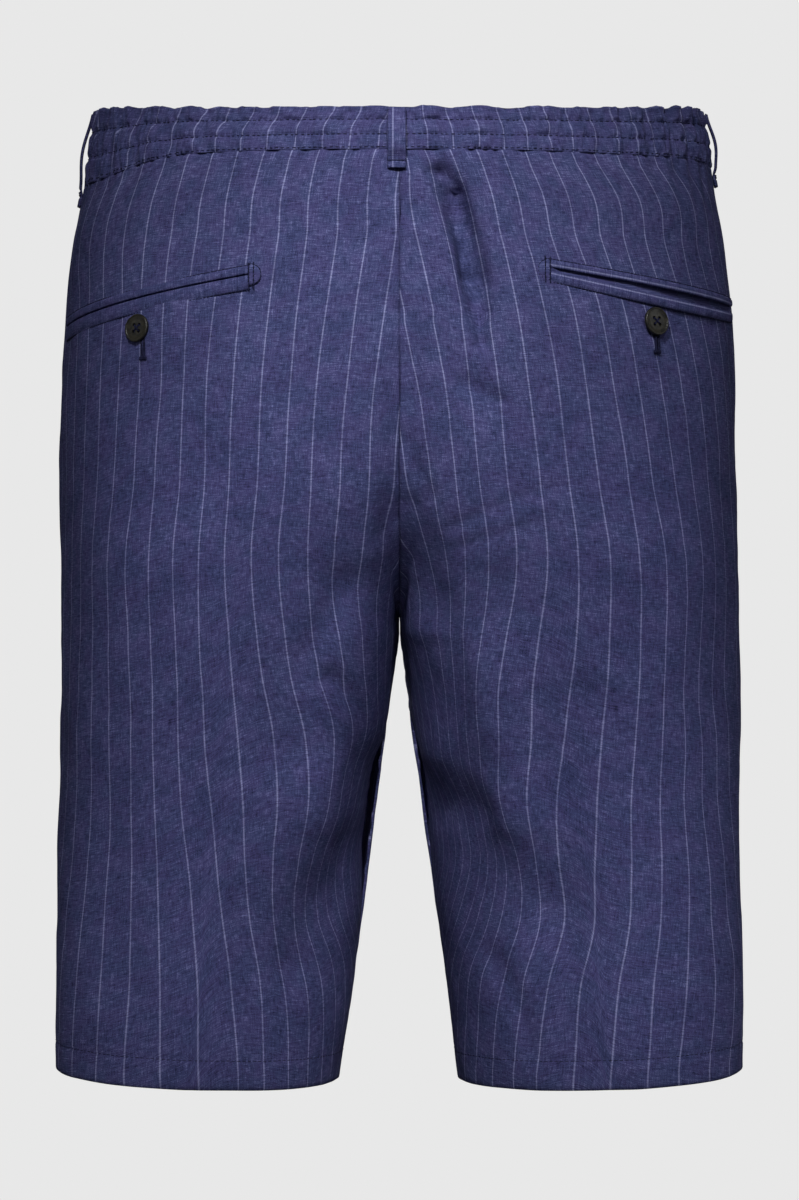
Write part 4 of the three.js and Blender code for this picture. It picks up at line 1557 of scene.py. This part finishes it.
class Stitching:
    """Thread laid along lines by one Geometry Nodes tree."""

    SEED = 5

    def __init__(self, thread: Material) -> None:
        """Keep the thread and make the tree."""
        self.thread = thread
        self.tree = self.build_tree()

    def build_tree(self) -> NodeTree:
        """Make the tree that sets stitches along a line.

        Returns:
            The tree, with inputs for the stitch's pitch, length, radius, lean and seed, and its material.
        """
        tree = bpy.data.node_groups.new("stitches", "GeometryNodeTree")
        tree.is_modifier = True
        sockets = tree.interface
        sockets.new_socket("Geometry", in_out="INPUT", socket_type="NodeSocketGeometry")
        for name in ("Pitch", "Length", "Radius", "Lean"):
            sockets.new_socket(name, in_out="INPUT", socket_type="NodeSocketFloat")
        sockets.new_socket("Seed", in_out="INPUT", socket_type="NodeSocketInt")
        sockets.new_socket("Material", in_out="INPUT", socket_type="NodeSocketMaterial")
        sockets.new_socket("Geometry", in_out="OUTPUT", socket_type="NodeSocketGeometry")
        graph = Graph(tree)
        given, result = graph.node("NodeGroupInput"), graph.node("NodeGroupOutput")
        curve = graph.node("GeometryNodeMeshToCurve", Mesh=given.outputs["Geometry"])
        spaced = graph.node("GeometryNodeResampleCurve", Curve=curve.outputs[0])
        spaced.mode = "LENGTH"
        graph.link(given.outputs["Pitch"], spaced.inputs["Length"])
        tangent = graph.node("GeometryNodeInputTangent")
        facing = graph.node("FunctionNodeAlignRotationToVector", Vector=tangent.outputs[0])
        facing.axis = "Z"
        low = graph.combine(graph.math("MULTIPLY", given.outputs["Lean"], -1), 0.0, 0.0)
        high = graph.combine(given.outputs["Lean"], 0.0, 0.0)
        lean = graph.node("FunctionNodeRandomValue", Seed=given.outputs["Seed"])
        lean.data_type = "FLOAT_VECTOR"
        graph.link(low, lean.inputs[0])
        graph.link(high, lean.inputs[1])
        turned = graph.node("FunctionNodeRotateRotation", Rotation=facing.outputs[0])
        turned.rotation_space = "LOCAL"
        euler = graph.node("FunctionNodeEulerToRotation", Euler=lean.outputs[0])
        graph.link(euler.outputs[0], turned.inputs["Rotate By"])
        bead = graph.node("GeometryNodeMeshUVSphere", Segments=6, Rings=5, Radius=1.0)
        half_length = graph.math("MULTIPLY", given.outputs["Length"], 0.5)
        size = graph.combine(given.outputs["Radius"], given.outputs["Radius"], half_length)
        placed = graph.node(
            "GeometryNodeInstanceOnPoints",
            Points=spaced.outputs[0],
            Instance=bead.outputs["Mesh"],
            Rotation=turned.outputs[0],
            Scale=size,
        )
        real = graph.node("GeometryNodeRealizeInstances", Geometry=placed.outputs[0])
        dressed = graph.node("GeometryNodeSetMaterial", Geometry=real.outputs[0])
        graph.link(given.outputs["Material"], dressed.inputs["Material"])
        graph.link(dressed.outputs[0], result.inputs["Geometry"])
        return tree

    def sew(self, name: str, lines: Sequence[Array], stitch: Stitch) -> Object:
        """Set stitches along lines.

        Args:
            name: The object's name.
            lines: The lines, in millimetres.
            stitch: The kind of stitch.

        Returns:
            The stitches, as one plain mesh.
        """
        mesh = bpy.data.meshes.new(name)
        starts = np.cumsum([0] + [len(line) for line in lines])
        runs = [range(start, start + len(line) - 1) for start, line in zip(starts, lines)]
        edges = [(number, number + 1) for run in runs for number in run]
        mesh.from_pydata((np.concatenate(lines) * MM).tolist(), edges, [])
        made = MeshMaker.linked(name, mesh)
        layer = made.modifiers.new("stitches", "NODES")
        layer.node_group = self.tree
        values = {
            "Pitch": stitch.pitch * MM,
            "Length": stitch.length * MM,
            "Radius": stitch.radius * MM,
            "Lean": stitch.lean,
            "Seed": self.SEED,
            "Material": self.thread,
        }
        for item in self.tree.interface.items_tree:
            if item.in_out == "INPUT" and item.name in values:
                layer[item.identifier] = values[item.name]
        made.data = MeshMaker.evaluated_mesh(made)
        made.modifiers.clear()
        return made


class Graph:
    """A node tree with short ways to add and join its nodes.

    Args:
        tree: The tree.
    """

    def __init__(self, tree: NodeTree) -> None:
        """Keep the tree."""
        self.tree = tree

    def link(self, source: NodeSocket, target: NodeSocket) -> None:
        """Join two sockets."""
        self.tree.links.new(source, target)

    def feed(self, target: NodeSocket, value: object) -> None:
        """Join a socket to another one, or give it a plain value."""
        if isinstance(value, NodeSocket):
            self.link(value, target)
        else:
            target.default_value = value

    def node(self, kind: str, **inputs: object) -> Node:
        """Add a node.

        Args:
            kind: The node's type.
            inputs: What feeds its sockets, by name with _ for a space.

        Returns:
            The node.
        """
        made = self.tree.nodes.new(kind)
        for name, value in inputs.items():
            self.feed(made.inputs[name.replace("_", " ")], value)
        return made

    def math(self, operation: str, *values: object) -> NodeSocket:
        """Add a sum of one, two or three values."""
        made = self.tree.nodes.new("ShaderNodeMath")
        made.operation = operation
        for socket, value in zip(made.inputs, values):
            self.feed(socket, value)
        return made.outputs[0]

    def scale(self, vector: object, factor: object) -> NodeSocket:
        """Scale a vector."""
        made = self.node("ShaderNodeVectorMath", Vector=vector)
        made.operation = "SCALE"
        self.feed(made.inputs["Scale"], factor)
        return made.outputs[0]

    def group(self, tree: NodeTree, **inputs: object) -> Node:
        """Add a node group and feed its inputs by name."""
        made = self.node("ShaderNodeGroup")
        made.node_tree = tree
        for name, value in inputs.items():
            self.feed(made.inputs[name], value)
        return made

    def combine(self, x: object, y: object, z: object) -> NodeSocket:
        """Join three values into a vector."""
        return self.node("ShaderNodeCombineXYZ", X=x, Y=y, Z=z).outputs[0]

    def blend(self, share: object, start: object, end: object) -> NodeSocket:
        """Mix two colours."""
        made = self.tree.nodes.new("ShaderNodeMix")
        made.data_type = "RGBA"
        for socket, value in zip((made.inputs[0], made.inputs[6], made.inputs[7]), (share, start, end)):
            self.feed(socket, value)
        return made.outputs[2]

    def ramp(
        self, value: object, start: float, end: float, low: float = 0.0, high: float = 1.0
    ) -> NodeSocket:
        """Ease a value from low to high between two ends."""
        made = self.node("ShaderNodeMapRange", Value=value)
        made.interpolation_type = "SMOOTHSTEP"
        for socket, number in zip(made.inputs[1:5], (start, end, low, high)):
            socket.default_value = number
        return made.outputs[0]

    def noise(self, place: object, scale: float, detail: float = 2.0, roughness: float = 0.5) -> NodeSocket:
        """Add a noise value."""
        made = self.node("ShaderNodeTexNoise", Vector=place, Scale=scale, Detail=detail, Roughness=roughness)
        return made.outputs[0]


class ClothPatterns:
    """Shader groups that several finishes share."""

    @staticmethod
    def start(name: str, inputs: Sequence[tuple[str, str]], outputs: Sequence[tuple[str, str]]) -> Graph:
        """Make an empty shader group.

        Args:
            name: Its name.
            inputs: Its inputs' names and kinds.
            outputs: Its outputs' names and kinds.

        Returns:
            The group's graph.
        """
        tree = bpy.data.node_groups.new(name, "ShaderNodeTree")
        for sockets, side in ((inputs, "INPUT"), (outputs, "OUTPUT")):
            for socket_name, kind in sockets:
                tree.interface.new_socket(socket_name, in_out=side, socket_type=f"NodeSocket{kind}")
        return Graph(tree)

    @classmethod
    def yarn(cls) -> NodeTree:
        """Uneven yarns that cross: their tone from -1 to 1, and the height of the weave.

        Returns:
            The group, whose Place input is in millimetres along the cloth.
        """
        graph = cls.start(
            "uneven yarns",
            (("Place", "Vector"), ("Yarns", "Float"), ("Slub", "Float")),
            (("Tone", "Float"), ("Height", "Float"), ("Weft", "Float")),
        )
        given, result = graph.node("NodeGroupInput"), graph.node("NodeGroupOutput")
        split = graph.node("ShaderNodeSeparateXYZ", Vector=given.outputs["Place"])
        x, y = (graph.math("MULTIPLY", split.outputs[k], given.outputs["Yarns"]) for k in (0, 1))
        run_x, run_y = (graph.math("DIVIDE", value, given.outputs["Slub"]) for value in (x, y))
        warp = graph.noise(graph.combine(x, run_y, 0.0), 1.0, 1.5, 0.6)
        weft = graph.noise(graph.combine(run_x, y, 7.0), 1.0, 1.5, 0.6)
        speck = graph.noise(graph.combine(x, y, 3.0), 1.3, 1.0, 0.6)
        bands = []
        for u, u_scale, v, v_scale, layer in ((x, 0.33, run_y, 0.6, 11.0), (run_x, 0.6, y, 0.33, 17.0)):
            wide, tall = graph.math("MULTIPLY", u, u_scale), graph.math("MULTIPLY", v, v_scale)
            bands.append(graph.noise(graph.combine(wide, tall, layer), 1.0, 1.0, 0.5))
        both = graph.math("ADD", graph.math("MULTIPLY", warp, 1.15), graph.math("MULTIPLY", weft, 1.45))
        coarse = graph.math("MULTIPLY", graph.math("ADD", *bands), 0.5)
        yarns = graph.math("ADD", both, graph.math("MULTIPLY", speck, 1.3))
        tone = graph.math("SUBTRACT", graph.math("ADD", yarns, coarse), 2.45)
        turns_x, turns_y = (graph.math("MULTIPLY", value, math.pi) for value in (x, y))
        over = graph.math("MULTIPLY", graph.math("SINE", turns_x), graph.math("SINE", turns_y))
        graph.link(tone, result.inputs["Tone"])
        graph.link(weft, result.inputs["Weft"])
        graph.link(graph.math("ADD", graph.math("MULTIPLY", over, 0.3), tone), result.inputs["Height"])
        return graph.tree

    @classmethod
    def mottle(cls) -> NodeTree:
        """Slow, cloudy changes of tone and hue over the cloth.

        Returns:
            The group, whose Place input is in millimetres along the cloth.
        """
        graph = cls.start(
            "cloudy wear",
            (("Place", "Vector"), ("Cloud", "Float")),
            (("Tone", "Float"), ("Hue", "Float")),
        )
        given, result = graph.node("NodeGroupInput"), graph.node("NodeGroupOutput")
        scaled = graph.scale(given.outputs["Place"], graph.math("DIVIDE", 1.0, given.outputs["Cloud"]))
        tone = graph.noise(scaled, 1.0, 3.0, 0.6)
        hue = graph.noise(scaled, 1.7, 2.0, 0.6)
        graph.link(graph.math("MULTIPLY_ADD", tone, 2.0, -1.0), result.inputs["Tone"])
        graph.link(graph.ramp(hue, 0.35, 0.65), result.inputs["Hue"])
        return graph.tree

    @staticmethod
    def clouded(
        name: str, mottle: NodeTree, size: float, colors: Sequence[Triple]
    ) -> tuple[Material, Node, Node]:
        """Start a material whose colour changes slowly between two.

        Args:
            name: Its name.
            mottle: The group of slow, cloudy changes.
            size: The size of a cloud, in millimetres.
            colors: The two colours.

        Returns:
            The material, its surface shader and its clouds.
        """
        made = bpy.data.materials.new(name)
        made.use_nodes = True
        graph = Graph(made.node_tree)
        surface = made.node_tree.nodes["Principled BSDF"]
        place = graph.node("ShaderNodeTexCoord")
        clouds = graph.group(mottle, Place=graph.scale(place.outputs["Object"], 1 / MM), Cloud=size)
        first, second = colors
        tone = graph.blend(clouds.outputs["Hue"], (*first, 1), (*second, 1))
        graph.link(tone, surface.inputs["Base Color"])
        return made, surface, clouds


@dataclass(frozen=True)
class LinenFinish:
    """Navy linen with thin pale pinstripes."""

    bluish: Triple = (0.050, 0.060, 0.162)
    purplish: Triple = (0.064, 0.061, 0.176)
    pale: Triple = (0.190, 0.205, 0.430)
    deep: Triple = (0.012, 0.014, 0.048)
    stripe: Triple = (0.290, 0.305, 0.550)
    stripe_width: float = 0.8
    yarns_per_mm: float = 1.55
    slub: float = 8.0
    cloud: float = 24.0
    bump: float = 0.4
    bump_height: float = 0.0002

    def build(self, yarn: NodeTree, mottle: NodeTree) -> Material:
        """Make the material.

        Args:
            yarn: The group of uneven yarns.
            mottle: The group of slow, cloudy changes.

        Returns:
            The linen.
        """
        made = bpy.data.materials.new("pinstripe_linen")
        made.use_nodes = True
        graph = Graph(made.node_tree)
        surface = made.node_tree.nodes["Principled BSDF"]
        cloth = graph.node("ShaderNodeUVMap")
        cloth.uv_map = "cloth"
        place = graph.scale(cloth.outputs[0], CLOTH_UNIT)
        woven = graph.group(yarn, Place=place, Yarns=self.yarns_per_mm, Slub=self.slub)
        clouds = graph.group(mottle, Place=place, Cloud=self.cloud)
        ground = graph.blend(clouds.outputs["Hue"], (*self.bluish, 1), (*self.purplish, 1))
        tone = graph.math("MULTIPLY_ADD", clouds.outputs["Tone"], 0.35, woven.outputs["Tone"])
        lifted = graph.blend(graph.ramp(tone, -0.05, 0.95), ground, (*self.pale, 1))
        sunk = graph.blend(graph.ramp(tone, 0.0, -0.8), lifted, (*self.deep, 1))
        split = graph.node("ShaderNodeSeparateXYZ", Vector=cloth.outputs[0])
        off_line = graph.math("MULTIPLY", graph.math("PINGPONG", split.outputs[0], 0.5), CLOTH_UNIT)
        line = graph.ramp(off_line, 0.15 * self.stripe_width, 0.75 * self.stripe_width, 1.0, 0.0)
        worn = graph.ramp(woven.outputs["Weft"], 0.3, 0.65, 0.35, 1.0)
        faded = graph.math("MULTIPLY", worn, graph.ramp(clouds.outputs["Tone"], -0.45, 0.25, 0.45, 1.0))
        striped = graph.blend(graph.math("MULTIPLY", line, faded), sunk, (*self.stripe, 1))
        graph.link(striped, surface.inputs["Base Color"])
        height = woven.outputs["Height"]
        bump = graph.node("ShaderNodeBump", Height=height, Strength=self.bump, Distance=self.bump_height)
        graph.link(bump.outputs[0], surface.inputs["Normal"])
        rough = graph.ramp(tone, -1.0, 1.0, 0.95, 0.85)
        graph.link(rough, surface.inputs["Roughness"])
        surface.inputs["Specular IOR Level"].default_value = 0.12
        return made


@dataclass(frozen=True)
class ThreadFinish:
    """Dark navy sewing thread."""

    color: Triple = (0.007, 0.008, 0.03)
    pale: Triple = (0.016, 0.018, 0.058)
    cloud: float = 3.0
    roughness: float = 0.75
    specular: float = 0.15

    def build(self, mottle: NodeTree) -> Material:
        """Make the material.

        Args:
            mottle: The group of slow, cloudy changes.

        Returns:
            The thread.
        """
        made, surface, _ = ClothPatterns.clouded("navy_thread", mottle, self.cloud, (self.color, self.pale))
        surface.inputs["Roughness"].default_value = self.roughness
        surface.inputs["Specular IOR Level"].default_value = self.specular
        return made


@dataclass(frozen=True)
class HornFinish:
    """Dark olive horn-like resin with faint streaks."""

    dark: Triple = (0.007, 0.007, 0.006)
    light: Triple = (0.024, 0.022, 0.015)
    cloud: float = 4.0
    roughness: tuple[float, float] = (0.3, 0.48)

    def build(self, mottle: NodeTree) -> Material:
        """Make the material.

        Args:
            mottle: The group of slow, cloudy changes.

        Returns:
            The resin.
        """
        colors = (self.dark, self.light)
        made, surface, clouds = ClothPatterns.clouded("dark_horn", mottle, self.cloud, colors)
        graph = Graph(made.node_tree)
        rough = graph.ramp(clouds.outputs["Tone"], -1.0, 1.0, *self.roughness)
        graph.link(rough, surface.inputs["Roughness"])
        return made


class Studio:
    """The camera, the lights, the floor and the background."""

    DISTANCE = 2.0
    EYE_LEVEL = -0.2486
    FRAME_HEIGHT = 0.66
    SENSOR = 36.0
    BACKDROP = 0.807
    FLOOR_LEVEL = -0.78
    FLOOR_SIZE = 40
    FLOOR_TONE = 0.3
    LAMP_RADIUS = 0.12
    AMBIENT = 0.07

    def camera(self) -> None:
        """Set the camera at the back, level with the middle of the garment."""
        data = bpy.data.cameras.new("camera")
        data.sensor_width = self.SENSOR
        data.lens = self.SENSOR * self.DISTANCE / self.FRAME_HEIGHT
        made = MeshMaker.linked("camera", data)
        made.location = (0, self.DISTANCE, self.EYE_LEVEL)
        made.rotation_euler = (math.pi / 2, 0, math.pi)
        bpy.context.scene.camera = made

    def hang(self, data: Light, place: Sequence[float], target: Sequence[float]) -> None:
        """Hang a light at a place so that it faces a target."""
        made = MeshMaker.linked(data.name, data)
        made.location = place
        aim = Vector(target) - Vector(place)
        made.rotation_euler = aim.to_track_quat("-Z", "Y").to_euler()

    def softbox(self, name: str, place: Sequence[float], size: float, power: float) -> None:
        """Add a square soft light that faces the garment.

        Args:
            name: The light's name.
            place: Where it hangs.
            size: The length of its sides.
            power: Its power in watts.
        """
        data = bpy.data.lights.new(name, "AREA")
        data.size, data.energy = size, power
        self.hang(data, place, (0, 0, self.EYE_LEVEL))

    def spot(
        self, name: str, place: Sequence[float], target: Sequence[float], reach: float, power: float
    ) -> None:
        """Add a soft-edged spot whose light fades out away from its target.

        Args:
            name: The light's name.
            place: Where it hangs.
            target: Where it points.
            reach: How far from the target its light ends, in metres.
            power: Its power in watts.
        """
        data = bpy.data.lights.new(name, "SPOT")
        data.energy, data.spot_blend, data.shadow_soft_size = power, 1.0, self.LAMP_RADIUS
        data.spot_size = 2 * math.atan(reach / (Vector(place) - Vector(target)).length)
        self.hang(data, place, target)

    @staticmethod
    def backed(graph: Graph, lit: NodeSocket, seen: NodeSocket) -> NodeSocket:
        """Show one shader to the camera and use the other for light.

        Args:
            graph: The tree's graph.
            lit: The shader for every ray that isn't the camera's.
            seen: The shader that the camera sees.

        Returns:
            The mixed shader's output.
        """
        path = graph.node("ShaderNodeLightPath")
        mixed = graph.node("ShaderNodeMixShader", Fac=path.outputs["Is Camera Ray"])
        graph.link(lit, mixed.inputs[1])
        graph.link(seen, mixed.inputs[2])
        return mixed.outputs[0]

    def world(self) -> None:
        """Give the world a pale grey to look at and a weak, even light."""
        world = bpy.data.worlds.new("studio")
        world.use_nodes = True
        graph = Graph(world.node_tree)
        seen = world.node_tree.nodes["Background"]
        seen.inputs["Color"].default_value = (self.BACKDROP, self.BACKDROP, self.BACKDROP, 1)
        lit = graph.node("ShaderNodeBackground", Strength=self.AMBIENT)
        lit.inputs["Color"].default_value = (1, 1, 1, 1)
        out = self.backed(graph, lit.outputs[0], seen.outputs[0])
        graph.link(out, world.node_tree.nodes["World Output"].inputs["Surface"])
        bpy.context.scene.world = world

    def floor(self) -> None:
        """Lay a wide, plain, pale floor below the garment."""
        bpy.ops.mesh.primitive_plane_add(size=self.FLOOR_SIZE, location=(0, 0, self.FLOOR_LEVEL))
        floor = bpy.context.object
        floor.name = "floor"
        finish = bpy.data.materials.new("floor")
        finish.use_nodes = True
        graph = Graph(finish.node_tree)
        lit = finish.node_tree.nodes["Principled BSDF"]
        lit.inputs["Base Color"].default_value = (self.FLOOR_TONE, self.FLOOR_TONE, self.FLOOR_TONE, 1)
        lit.inputs["Roughness"].default_value = 1
        seen = graph.node("ShaderNodeEmission")
        seen.inputs["Color"].default_value = (self.BACKDROP, self.BACKDROP, self.BACKDROP, 1)
        out = self.backed(graph, lit.outputs[0], seen.outputs[0])
        graph.link(out, finish.node_tree.nodes["Material Output"].inputs["Surface"])
        floor.data.materials.append(finish)

    def build(self) -> None:
        """Set up the whole studio."""
        self.camera()
        self.world()
        self.floor()
        self.spot("key_seat_left", (0.4, 1.85, 1.4), (0, 0.1, -0.07), 0.24, 170)
        self.spot("key_seat_right", (-0.6, 1.8, 1.2), (0, 0.1, -0.07), 0.235, 60)
        self.spot("low_left", (0.15, 1.95, -0.05), (0.053, 0.09, -0.213), 0.106, 52)
        self.spot("low_right", (-0.9, 1.8, 0.3), (-0.09, 0.09, -0.23), 0.088, 24)
        self.spot("key_leg_left", (0.1, 1.9, 0.9), (0.13, 0.06, -0.44), 0.155, 178)
        self.spot("key_leg_right", (-0.4, 1.9, 0.9), (-0.103, 0.06, -0.444), 0.148, 215)
        self.softbox("rim_right", (-2.1, 0.6, 0.2), 0.8, 3)
        self.softbox("rim_left", (2.1, 0.6, 0.2), 0.8, 1.0)
        self.softbox("front", (0, -2.4, 0.9), 1.4, 30)
        bpy.context.scene.view_settings.view_transform = "Standard"


class Shorts:
    """The whole garment."""

    def __init__(self) -> None:
        """Make what the pieces share: the form, the stripes, the finishes and the sewing."""
        self.form = GarmentForm()
        self.stripes = StripePlan()
        self.band = Waistband(self.form, self.stripes)
        yarn, mottle = ClothPatterns.yarn(), ClothPatterns.mottle()
        self.linen = LinenFinish().build(yarn, mottle)
        self.horn = HornFinish().build(mottle)
        self.thread = ThreadFinish().build(mottle)
        self.sewing = Stitching(self.thread)
        self.panels: dict[str, tuple] = {}
        self.bands: dict[str, tuple] = {}

    @staticmethod
    def dress(piece: Object, finish: Material, slot: str, *nodes: str) -> Object:
        """Give a piece its finish, attach it to the body and hide the parts that it replaces.

        Args:
            piece: The piece.
            finish: Its material.
            slot: The record's material slot; not used.
            nodes: The nodes that it replaces.

        Returns:
            The piece.
        """
        piece.data.materials.clear()
        piece.data.materials.append(finish)
        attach(piece, BODY)
        if nodes:
            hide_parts(*nodes)
        LOG.info("%s: %d faces", piece.name, len(piece.data.polygons))
        return piece

    def cloth(self, piece: Object) -> Object:
        """Dress a cloth piece, which is named after its node."""
        return self.dress(piece, self.linen, CLOTH_SLOT, piece.name.removesuffix("_cloth"))

    @staticmethod
    def sheet(
        piece: Object,
        surface: Surface,
        held: str,
        fullness: float,
        trims: Sequence[Object],
    ) -> None:
        """State the flat cut of a cloth piece.

        Args:
            piece: The piece.
            surface: Its outer face.
            held: How the cloth is held; not used.
            fullness: How much wider its flat cut is than the finished piece.
            trims: What is sewn on it; not used.
        """
        width = float(arc_lengths(surface.points, 1)[:, -1].max()) * fullness * MM
        length = float(arc_lengths(surface.points, 0)[-1].max()) * MM
        area = surface.area() * fullness * MM * MM
        LOG.info("%s: cut %.3f x %.3f m, %.4f m2", piece.name, width, length, area)

    def sewn(self, name: str, lines: Sequence[Array], stitch: Stitch) -> Object:
        """Sew along lines and dress the stitches."""
        return self.dress(self.sewing.sew(name, lines, stitch), self.thread, CLOTH_SLOT)

    def build_panels(self) -> None:
        """Make the leg panels and their hem stitching."""
        for face in Face:
            for half in Half:
                panel = LegPanel(self.form, self.stripes, self.band.gather, half, face)
                piece = self.cloth(panel.build())
                line = [panel.hem_stitches()]
                hem = self.sewn(f"hem_stitches_{panel.node}", line, HEM_STITCH)
                self.panels[panel.node] = (piece, panel.surface, [hem])

    def build_waist(self) -> None:
        """Make the waistband, its stitching, its button and the belt loops."""
        lines = self.band.build()
        for name, piece, surface in lines:
            self.cloth(piece)
            stitches = self.sewn(f"{name}_stitches", self.band.stitch_lines(name), BAND_STITCH)
            held, fullness = ("gathered", 1.25) if name == "waistband_back" else ("hung", 1.0)
            self.bands[name] = (piece, surface, [stitches], held, fullness)
        seat = self.band.proud + self.band.seam_gap
        for name, angle, distance, stripe, carrier in (
            ("back", math.pi / 2 - 0.004, seat + self.band.gather_depth, 0.13, "waistband_back"),
            ("side_left", 0.06, seat + 0.4, 0.42, "waistband_back"),
            ("side_right", math.pi - 0.06, seat + 0.4, 0.42, "waistband_back"),
            ("front_left", -1.0, seat, 0.42, "waistband_front_left"),
            ("front_right", math.pi + 1.0, seat, 0.42, "waistband_front_right"),
        ):
            loop = BeltLoop(self.form, self.band, name, angle, distance, stripe)
            piece = self.cloth(loop.build())
            tack = self.sewn(f"belt_loop_{name}_tacks", loop.tack_lines(), LOOP_STITCH)
            self.bands[carrier][2].extend([piece, tack])
        seat, direction = self.band.button_seat()
        self.bands["waistband_front_left"][2].extend(self.buttoned("waist_button", seat, direction))

    def buttoned(self, node: str, seat: Vector, direction: Vector) -> list[Object]:
        """Make a button and its thread."""
        button = Button()
        body = self.dress(button.build(f"{node}_horn", seat, direction), self.horn, BUTTON_SLOT, node)
        thread = self.dress(button.thread(f"{node}_thread", seat, direction), self.thread, CLOTH_SLOT)
        return [body, thread]

    def build_pockets(self) -> None:
        """Make the back pockets with their buttons and stitching."""
        for half in Half:
            pocket = BackPocket(self.form, half)
            trims = [self.cloth(piece) for piece in pocket.build()]
            trims.append(self.sewn(f"{pocket.name}_stitches", pocket.lines, WELT_STITCH))
            trims.append(self.sewn(f"{pocket.name}_satin", pocket.satin, SATIN_STITCH))
            trims += self.buttoned(f"{pocket.name}_button", *pocket.frame_at(*POCKETS[half].button))
            self.panels[f"back_{half.label}"][2].extend(trims)

    def build_fly(self) -> None:
        """Make the shield behind the centre front and the fly's stitching."""
        fly = Fly(self.form)
        shield = self.cloth(fly.shield())
        stitches = self.sewn("fly_stitches", [fly.stitch_line()], HEM_STITCH)
        self.panels["front_left"][2].append(stitches)
        self.sheet(shield, fly.surface, "hung", 1.0, [])

    def state_sheets(self) -> None:
        """State the flat cut of the panels and the bands."""
        for piece, surface, trims in self.panels.values():
            self.sheet(piece, surface, "hung", 1.0, trims)
        for piece, surface, trims, held, fullness in self.bands.values():
            self.sheet(piece, surface, held, fullness, trims)

    def build(self) -> None:
        """Make every piece."""
        self.build_panels()
        self.build_waist()
        self.build_pockets()
        self.build_fly()
        self.state_sheets()


def main() -> None:
    """Build the studio and the shorts."""
    logging.basicConfig(level=logging.INFO, format="%(message)s")
    Studio().build()
    Shorts().build()


if __name__ == "__main__":
    main()
